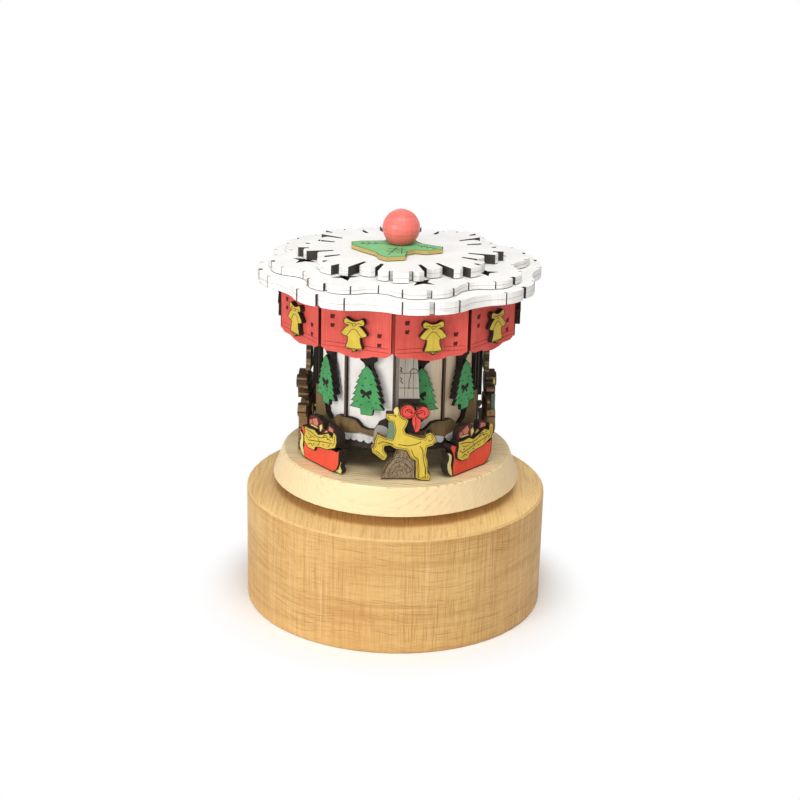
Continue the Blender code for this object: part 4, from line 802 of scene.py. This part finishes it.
def rim_lines(piece, node, matrix, depth, distance, width):
    """A charred or engraved line that follows each rim of a node's flat face."""
    for loop in face_rims(node, matrix, depth):
        piece.line(matrix, inset(loop, distance), depth, width, closed=True)


def side_azimuth(number):
    """The azimuth of the middle of a side of the pavilion; side 1 lies just right of the front."""
    return phase + (number - 0.5) * sector


# Bells: charred rims, the bell's shoulder and mouth, the bow's knot and folds, and the clapper
bell_lines = Piece("bell_engraving", "engraving", "charred_plywood")
bell_strokes = (
    [(-2.7, 5.6), (-1.7, 6.9), (-0.9, 7.9), (0.0, 8.3), (0.9, 7.9), (1.7, 6.9), (2.7, 5.6)],
    [(-3.0, 1.7), (-1.4, 1.4), (1.4, 1.4), (3.0, 1.7)],
    [(-0.6, 9.4), (-0.5, 10.1), (0.4, 10.2), (0.6, 9.5), (0.0, 9.1), (-0.6, 9.4)],
    [(0.7, 9.9), (1.8, 10.4), (2.7, 10.1)],
    [(-0.7, 9.9), (-1.8, 10.4), (-2.7, 10.1)],
)
clapper = arc(0.0, 0.75, 0.4, 0, 360, 10)[:-1]
for number in range(1, sides + 1):
    place = standing(side_azimuth(number), valance_face + valance_gap, bell_foot)
    rim_lines(bell_lines, f"bell_{number:02d}", place, bell_face, 0.12 * MM, 0.24 * MM)
    for stroke in bell_strokes:
        bell_lines.line(place, in_mm(stroke), bell_face, 0.18 * MM)
    bell_lines.line(place, in_mm(clapper), bell_face, 0.2 * MM, closed=True)
bell_lines.finish()

# Valance: two faint lines near the foot, and two small marks at the upper left and lower right of each panel
valance_lines = Piece("valance_engraving", "maroon", "red_plywood")
line_end = valance_face * math.tan(math.pi / sides) - 1.5 * MM
line_levels = (-13.9 * MM, -15.3 * MM)
mark_outline = (
    (-1.0, 0.1), (-0.7, 0.9), (0.1, 0.75), (0.8, 1.0), (1.0, 0.2),
    (0.6, -0.2), (0.8, -0.9), (0.0, -0.8), (-0.8, -0.9),
)
mark_places = ((-8.6, -4.8, 0.9), (-8.6, -7.95, 0.8), (8.55, -9.7, 0.85), (8.5, -13.0, 0.8))
for number in range(1, sides + 1):
    place = standing(side_azimuth(number), valance_face, valance_top)
    for level in line_levels:
        valance_lines.line(place, [(-line_end, level), (line_end, level)], 0.0, 0.1 * MM)
    for x, y, size in mark_places:
        mark = [(x + size * u, y + size * v) for u, v in mark_outline]
        valance_lines.prism(place, in_mm(mark), 0.0, line_height)
valance_lines.finish()

# Trees: charred rims, a bow-shaped cut, small cuts among the needles, and the slat's wide head
tree_lines = Piece("tree_cuts", "black", "charred_plywood")
bow_middle = (-0.3, 7.9)
bow_wing = (
    (0.0, 0.5), (0.9, 1.2), (1.9, 1.5), (2.2, 0.6), (1.9, -0.3),
    (1.0, -0.4), (1.7, -1.5), (1.0, -1.8), (0.0, -0.5),
)
slat_head_half = ((1.2, 17.9), (1.9, 18.9), (3.1, 19.6), (3.1, 21.8))
slat_head = slat_head_half + tuple((-x, y) for x, y in reversed(slat_head_half))
needle_cuts = (
    (-3.6, 4.6), (3.5, 4.8), (-0.6, 13.4), (1.6, 11.4),
    (-2.2, 3.4), (2.2, 2.9), (0.8, 4.9), (-1.6, 10.6),
)
for number in range(1, sides + 1):
    place = standing(side_azimuth(number), wall_face, tree_foot)
    rim_lines(tree_lines, f"fir_tree_{number:02d}", place, tree_face, 0.1 * MM, 0.2 * MM)
    for flip in (1, -1):
        wing = [(bow_middle[0] + flip * x, bow_middle[1] + y) for x, y in bow_wing]
        tree_lines.prism(place, in_mm(wing), tree_face, tree_face + line_height)
    for x, y in needle_cuts:
        tree_lines.line(place, in_mm([(x - 0.4, y), (x + 0.4, y + 0.25)]), tree_face, 0.28 * MM)
    tree_lines.prism(place, in_mm(slat_head), slat_face - 0.9 * MM, slat_face + 0.1 * MM)
tree_lines.finish()

# Posts: two charred uprights, joined by a web, at each side of the left and right wall panels. Each bar
# has an inner and an outer reach, a foot, a head and half a width, on a plate whose X runs outwards.
posts = Piece("side_posts", "black", "charred_plywood")
post_turn = 15.5
post_head = lower_roof_low - 0.1 * MM
web_foot = floor_top + 20.0 * MM
post_bars = (
    (28.9 * MM, 30.3 * MM, floor_top, post_head, 0.7 * MM),
    (27.2 * MM, 28.6 * MM, floor_top + 12.0 * MM, post_head, 0.7 * MM),
    (28.3 * MM, 29.2 * MM, web_foot, web_foot + 2.0 * MM, 0.4 * MM),
)
for number, turn in ((8, post_turn), (8, -post_turn), (3, -post_turn), (3, post_turn)):
    place = standing(side_azimuth(number) + turn - 90, 0.0, 0.0)
    for inner, outer, foot, head, half in post_bars:
        posts.prism(place, [(inner, foot), (outer, foot), (outer, head), (inner, head)], -half, half)
posts.finish()

# Snow: a scalloped strip at the foot of each hill, whose lobes hang over the floor plate's edge
snow = Piece("snow_trim", "snow", "white_plywood")
snow_end = 8.9
snow_front = floor_face + 0.6 * MM
touch = 0.05 * MM
lobes = []
for x, radius in ((-7.4, 1.3), (-4.9, 1.2), (-2.5, 1.4), (0.4, 1.5), (3.2, 1.3), (5.6, 1.2), (7.7, 1.1)):
    lobes += arc(x, 0.4, radius, 200, 340, 6)
hanging = [(-snow_end, 0.5), *lobes, (snow_end, 0.5)]
drifts = [(snow_end, 1.3), (5.0, 2.0), (2.0, 1.4), (-2.6, 2.1), (-6.0, 1.5), (-snow_end, 1.2)]
lying_snow = [(snow_end, 0.4), *drifts, (-snow_end, 0.4)]
for number in range(1, sides + 1):
    place = standing(side_azimuth(number), 0.0, floor_top)
    snow.prism(place, in_mm(hanging), floor_face + touch, snow_front)
    snow.prism(place, in_mm(lying_snow), hill_face + touch, snow_front)
snow.finish()


def figures(kind):
    """The name and place of each figure of a kind."""
    for name, azimuth in figure_places.items():
        if name.startswith(kind):
            yield name, standing(azimuth, figure_radius, figure_foot)


# Deer: engraved rims, strokes on body, panel and mound, a scarf, an antler and the bow's folds
deer_lines = Piece("deer_engraving", "engraving", "charred_plywood")
bow_lines = Piece("bow_engraving", "maroon", "red_plywood")
scarves = Piece("deer_scarves", "scarf", "green_plywood")
antlers = Piece("deer_antlers", "cream", "gold_plywood")
panel_face = 1.2 * MM
mound_face = 2.0 * MM
panel_strokes = (
    ([(-1.4, 38.8), (5.0, 38.8)], 0.2),
    ([(-1.4, 33.4), (5.2, 33.4)], 0.2),
    ([(0.4, 30.2), (0.4, 45.6)], 0.12),
    ([(3.4, 30.2), (3.3, 45.6)], 0.12),
    ([(1.9, 33.0), (1.9, 36.2), (2.5, 38.4), (2.1, 39.4), (3.1, 40.4), (4.4, 40.2), (4.9, 39.2)], 0.24),
    ([(-1.2, 40.9), (-0.7, 40.4), (-1.1, 39.8), (-0.6, 39.2)], 0.45),
    ([(-1.2, 37.2), (-0.6, 36.8), (-1.0, 35.9), (-0.2, 35.0)], 0.3),
)
body_strokes = (
    [(8.3, 1.0), (8.2, 4.4), (7.4, 8.2), (7.2, 11.2), (6.2, 12.8)],
    [(6.0, 1.2), (6.0, 4.6), (5.6, 8.0), (4.0, 9.2), (3.2, 11.4)],
    [(-8.6, 13.6), (-6.9, 14.4), (-5.0, 14.0), (-3.2, 13.4)],
    [(-9.4, 11.2), (-7.8, 10.0), (-6.4, 8.6)],
    [(-5.3, 23.5), (-4.9, 23.2)],
    [(-2.9, 23.8), (-2.4, 23.6), (-2.4, 24.1), (-2.9, 23.8)],
    [(8.9, 15.2), (9.6, 14.6), (10.4, 15.2), (10.1, 16.3)],
    [(-1.4, 13.4), (1.8, 12.9), (4.6, 13.4), (6.6, 14.4)],
    [(7.0, 1.2), (9.2, 1.3)],
)
scarf = [(-5.6, 15.7), (-3.3, 15.2), (-2.7, 18.6), (-3.4, 21.5), (-5.0, 21.9), (-4.9, 18.4)]
antler = [(-2.9, 24.6), (-1.9, 24.4), (-1.6, 25.8), (-1.9, 27.1), (-2.7, 26.9), (-3.3, 25.8)]
bow_loops = ((1.5, 25.7, 1.0), (6.7, 25.3, -1.0))
bow_tail = [(4.4, 19.2), (4.5, 21.5), (4.2, 23.8)]
for name, place in figures("deer"):
    for depth, distance, width in (
        (figure_face, 0.1, 0.18),
        (figure_face, 0.62, 0.16),
        (mound_face, 0.25, 0.3),
        (figure_front, 0.1, 0.2),
    ):
        rim_lines(deer_lines, name, place, depth, distance * MM, width * MM)
    for stroke in body_strokes:
        deer_lines.line(place, in_mm(stroke), figure_face, 0.24 * MM)
    for stroke, width in panel_strokes:
        deer_lines.line(place, in_mm(stroke), panel_face, width * MM)
    for radius in (1.4, 2.6, 3.9, 5.2):
        deer_lines.line(place, in_mm(arc(-0.6, 1.6, radius, 5, 175, 10, 1.25)), mound_face, 0.16 * MM)
    scarves.prism(place, in_mm(scarf), figure_face - 1.2 * MM, figure_face + 0.25 * MM)
    antlers.prism(place, in_mm(antler), figure_face - 0.6 * MM, figure_face + 0.2 * MM)
    for x, y, side in bow_loops:
        for curl in (
            arc(x, y, 2.0, 100, 330, 9),
            arc(x + 0.3 * side, y - 0.1, 1.1, -40, 190, 7),
            [(x + 2.4 * side, y - 0.6), (x + 1.0 * side, y - 0.2), (x - 0.2 * side, y + 0.5)],
        ):
            bow_lines.line(place, in_mm(curl), figure_front, 0.24 * MM)
    bow_lines.line(place, in_mm(bow_tail), figure_front - 0.1 * MM, 0.24 * MM)
for piece in (deer_lines, bow_lines, scarves, antlers):
    piece.finish()

# Sleighs: engraved rims, folds and spots in the drape, and ribboned parcels on the load
sleigh_lines = Piece("sleigh_engraving", "engraving", "charred_plywood")
parcels = Piece("sleigh_parcels", "parcel", "red_plywood")
ribbons = Piece("sleigh_ribbons", "cream", "gold_plywood")
sleigh_scale = 0.96
load_face = 2.9 * MM
runner_face = 3.1 * MM
parcel_face = load_face + 0.2 * MM
parcel_outlines = (
    ((-6.4, 14.0), (-6.4, 16.1), (-1.9, 18.1), (-0.7, 16.2), (-1.6, 14.1)),
    ((5.5, 15.0), (6.0, 17.2), (8.5, 16.6), (8.9, 15.0)),
)
ribbon_outlines = (
    ((-5.6, 13.9), (-5.2, 14.7), (-1.5, 14.7), (-1.1, 13.9)),
    ((0.4, 13.0), (0.0, 15.6), (1.4, 16.4), (1.9, 14.6)),
    ((3.0, 13.6), (4.4, 14.9), (5.0, 14.3)),
)
parcel_fold = [(-4.9, 16.6), (-3.9, 14.6)]
drape_strokes = (
    ([(-7.0, 12.2), (-3.6, 12.0), (-0.6, 11.2), (2.4, 11.6), (5.6, 12.8), (8.8, 12.2)], 0.26),
    ([(-7.2, 9.8), (-5.4, 8.4), (-3.0, 8.9), (-0.6, 9.4), (2.6, 10.2), (6.2, 10.8), (9.6, 11.6)], 0.26),
    ([(-6.0, 6.6), (-4.2, 7.4), (-2.6, 6.8)], 0.26),
    ([(-5.8, 11.2), (-4.0, 10.4), (-1.6, 10.6)], 0.2),
    ([(0.4, 11.0), (1.6, 9.2)], 0.2),
    ([(3.6, 12.0), (4.6, 13.2), (6.4, 13.4)], 0.3),
    ([(9.4, 10.4), (10.8, 12.0), (10.8, 14.6)], 0.24),
    ([(6.8, 9.4), (8.4, 11.0)], 0.2),
)
drape_spots = ((-4.6, 9.6), (-2.2, 7.8), (0.8, 8.4), (3.8, 9.2), (6.6, 12.2), (8.0, 13.4))
for name, full_place in figures("sleigh"):
    place = full_place @ Matrix.Diagonal((sleigh_scale, sleigh_scale, 1.0, 1.0))
    for depth in (load_face, runner_face, figure_face, figure_front):
        rim_lines(sleigh_lines, name, full_place, depth, 0.12 * MM, 0.24 * MM)
    for outline in parcel_outlines:
        parcels.prism(place, in_mm(outline), load_face - 0.2 * MM, parcel_face)
        sleigh_lines.line(place, in_mm(outline), parcel_face, 0.3 * MM, closed=True)
    for outline in ribbon_outlines:
        ribbons.prism(place, in_mm(outline), load_face - 0.2 * MM, parcel_face + 0.1 * MM)
        sleigh_lines.line(place, in_mm(outline), parcel_face + 0.1 * MM, 0.22 * MM, closed=True)
    sleigh_lines.line(place, in_mm(parcel_fold), parcel_face, 0.3 * MM)
    for stroke, width in drape_strokes:
        sleigh_lines.line(place, in_mm(stroke), figure_front, width * MM)
    for x, y in drape_spots:
        sleigh_lines.line(place, in_mm([(x - 0.35, y - 0.1), (x + 0.35, y + 0.15)]), figure_front, 0.4 * MM)
for piece in (sleigh_lines, parcels, ribbons):
    piece.finish()

# Leaf plate: its charred rim and the veins of its leaves, each with an azimuth and a reach
leaf_lines = Piece("leaf_veins", "engraving", "green_plywood")
rim_lines(leaf_lines, "holly_plate", lying(0.0, holly_top), 0.0, 0.12 * MM, 0.22 * MM)
leaves = ((-84.0, 14.6), (-14.0, 17.8), (1.0, 15.6), (61.0, 14.2), (183.0, 14.0))
for azimuth, reach in leaves:
    place = lying(azimuth, holly_top)
    leaf_lines.line(place, in_mm([(0.4, -6.4), (0.2, -10.0), (0.0, -reach)]), 0.0, 0.24 * MM)
    for y, left, right in ((-8.2, 2.2, 1.8), (-10.6, 2.4, 1.9), (-12.6, 1.5, 1.2)):
        leaf_lines.line(place, in_mm([(-left, y - 1.4), (0.1, y)]), 0.0, 0.2 * MM)
        leaf_lines.line(place, in_mm([(right, y - 1.6), (0.1, y - 0.5)]), 0.0, 0.2 * MM)
leaf_lines.finish()

# Roof: a dark grey patch of painted shade in each notch of the sheets' rims, so that the notches show dark.
# A notch has four corners in a row along the rim: its mouth, its two inner corners, and its mouth again.
notch_shades = Piece("roof_notch_shades", "notch_shade", "white_plywood")
notch_least = 0.6 * MM
notch_most = 2.2 * MM
shade_patch_edge = 0.45
for name, low, high in (
    ("lower_roof_sheet", lower_roof_low, lower_roof_top),
    ("upper_roof_sheet", upper_roof_low, upper_roof_top),
):
    flat = Matrix.Translation((0.0, 0.0, high))
    rim = max(face_rims(name, flat, 0.0), key=lambda loop: max(x * x + y * y for x, y in loop))
    count = len(rim)
    for i in range(count):
        corners = [Vector(rim[(i + step) % count]) for step in range(4)]
        outer = (corners[0].length + corners[3].length) / 2
        inner = (corners[1].length + corners[2].length) / 2
        mouth = (corners[3] - corners[0]).length
        if notch_least < outer - inner < notch_most and mouth < notch_most:
            # Painted shade: the patch fills the inner part of the notch, just below the sheet's top.
            left_edge = corners[0].lerp(corners[1], shade_patch_edge)
            right_edge = corners[3].lerp(corners[2], shade_patch_edge)
            shade_patch = [left_edge, corners[1], corners[2], right_edge]
            notch_shades.prism(flat, [(c.x, c.y) for c in shade_patch], low - high, -0.05 * MM)
notch_shades.finish()

# Camera, at the photograph's place
photo_size = 800
focal_pixels = 1694
sensor = 36.0
camera_distance = 620 * MM
camera_elevation = math.radians(19.0)
camera_roll = math.radians(-1.35)
camera_target = Vector((0.95, 0.0, 74.96)) * MM
forward = Vector((0.0, math.cos(camera_elevation), -math.sin(camera_elevation)))
up = Vector((0.0, math.sin(camera_elevation), math.cos(camera_elevation)))
roll = Matrix.Rotation(camera_roll, 3, forward)
right = roll @ forward.cross(up)
up = roll @ up
lens = bpy.data.cameras.new("camera")
lens.sensor_width = sensor
lens.lens = focal_pixels / photo_size * sensor
lens.clip_start = 0.01
camera = bpy.data.objects.new("camera", lens)
camera.matrix_world = Matrix((right, up, -forward)).transposed().to_4x4()
camera.location = camera_target - forward * camera_distance
bpy.context.scene.collection.objects.link(camera)
bpy.context.scene.camera = camera


def soft_lamp(name, place, target, size, power):
    lamp = bpy.data.lights.new(name, "AREA")
    lamp.shape = "DISK"
    lamp.size = size
    lamp.energy = power
    made = bpy.data.objects.new(name, lamp)
    made.location = place
    made.rotation_euler = (Vector(target) - Vector(place)).to_track_quat("-Z", "Y").to_euler()
    bpy.context.scene.collection.objects.link(made)


soft_lamp("key_lamp", place=(-0.74, -0.74, 0.26), target=(0.0, 0.0, 0.09), size=0.5, power=5.0)
soft_lamp("fill_lamp", place=(-0.1, -1.1, 0.2), target=(0.0, 0.0, 0.08), size=0.5, power=1.3)
soft_lamp("top_lamp", place=(0.03, -0.42, 1.0), target=(0.0, 0.0, 0.07), size=0.7, power=6.6)


def white_to_the_eye(tree, shader, output, plain_kind, share=None):
    """Shows plain white to the camera and in reflections, and leaves the light as it is."""
    def number(operation, first, second):
        node = tree.nodes.new("ShaderNodeMath")
        node.operation = operation
        tree.links.new(first, node.inputs[0])
        tree.links.new(second, node.inputs[1])
        return node.outputs[0]

    rays = tree.nodes.new("ShaderNodeLightPath").outputs
    seen = number("MAXIMUM", rays["Is Camera Ray"], rays["Is Glossy Ray"])
    seen = number("MAXIMUM", seen, rays["Is Transmission Ray"])
    if share is not None:
        seen = number("MULTIPLY", seen, share)
    plain = tree.nodes.new(plain_kind)
    plain.inputs[0].default_value = (1.0, 1.0, 1.0, 1.0)
    plain.inputs[1].default_value = 1.0
    mix = tree.nodes.new("ShaderNodeMixShader")
    tree.links.new(seen, mix.inputs[0])
    tree.links.new(shader.outputs[0], mix.inputs[1])
    tree.links.new(plain.outputs[0], mix.inputs[2])
    tree.links.new(mix.outputs[0], output.inputs[0])


# Sky: even and dim as light, and plain white to the eye
sky_strength = 0.38
world = bpy.data.worlds.new("studio")
bpy.context.scene.world = world
world.use_nodes = True
background = world.node_tree.nodes["Background"]
background.inputs["Color"].default_value = (1.0, 1.0, 1.0, 1.0)
background.inputs["Strength"].default_value = sky_strength
white_to_the_eye(world.node_tree, background, world.node_tree.nodes["World Output"], "ShaderNodeBackground")

# Floor: pale, with the object's shadow near it, and plain white to the eye further off
half_floor = 3.0
floor_level = -0.05 * MM
floor_grey = 0.92
shadow_fade = (55.0, 76.0)
floor_corners = [(x * half_floor, y * half_floor, 0.0) for x, y in ((-1, -1), (1, -1), (1, 1), (-1, 1))]
floor_mesh = bpy.data.meshes.new("floor")
floor_mesh.from_pydata(floor_corners, [], [(0, 1, 2, 3)])
floor = bpy.data.objects.new("floor", floor_mesh)
floor.location.z = floor_level
floor_paint = Graph("studio_floor")
floor_paint.finish((floor_grey, floor_grey, floor_grey), 0.9, specular=0.1)
floor_output = floor_paint.tree.nodes["Material Output"]
far = floor_paint.remap(floor_paint.reach(), *shadow_fade)
white_to_the_eye(floor_paint.tree, floor_paint.shader, floor_output, "ShaderNodeEmission", far)
floor_mesh.materials.append(floor_paint.material)
bpy.context.scene.collection.objects.link(floor)

bpy.context.scene.view_settings.view_transform = "Standard"
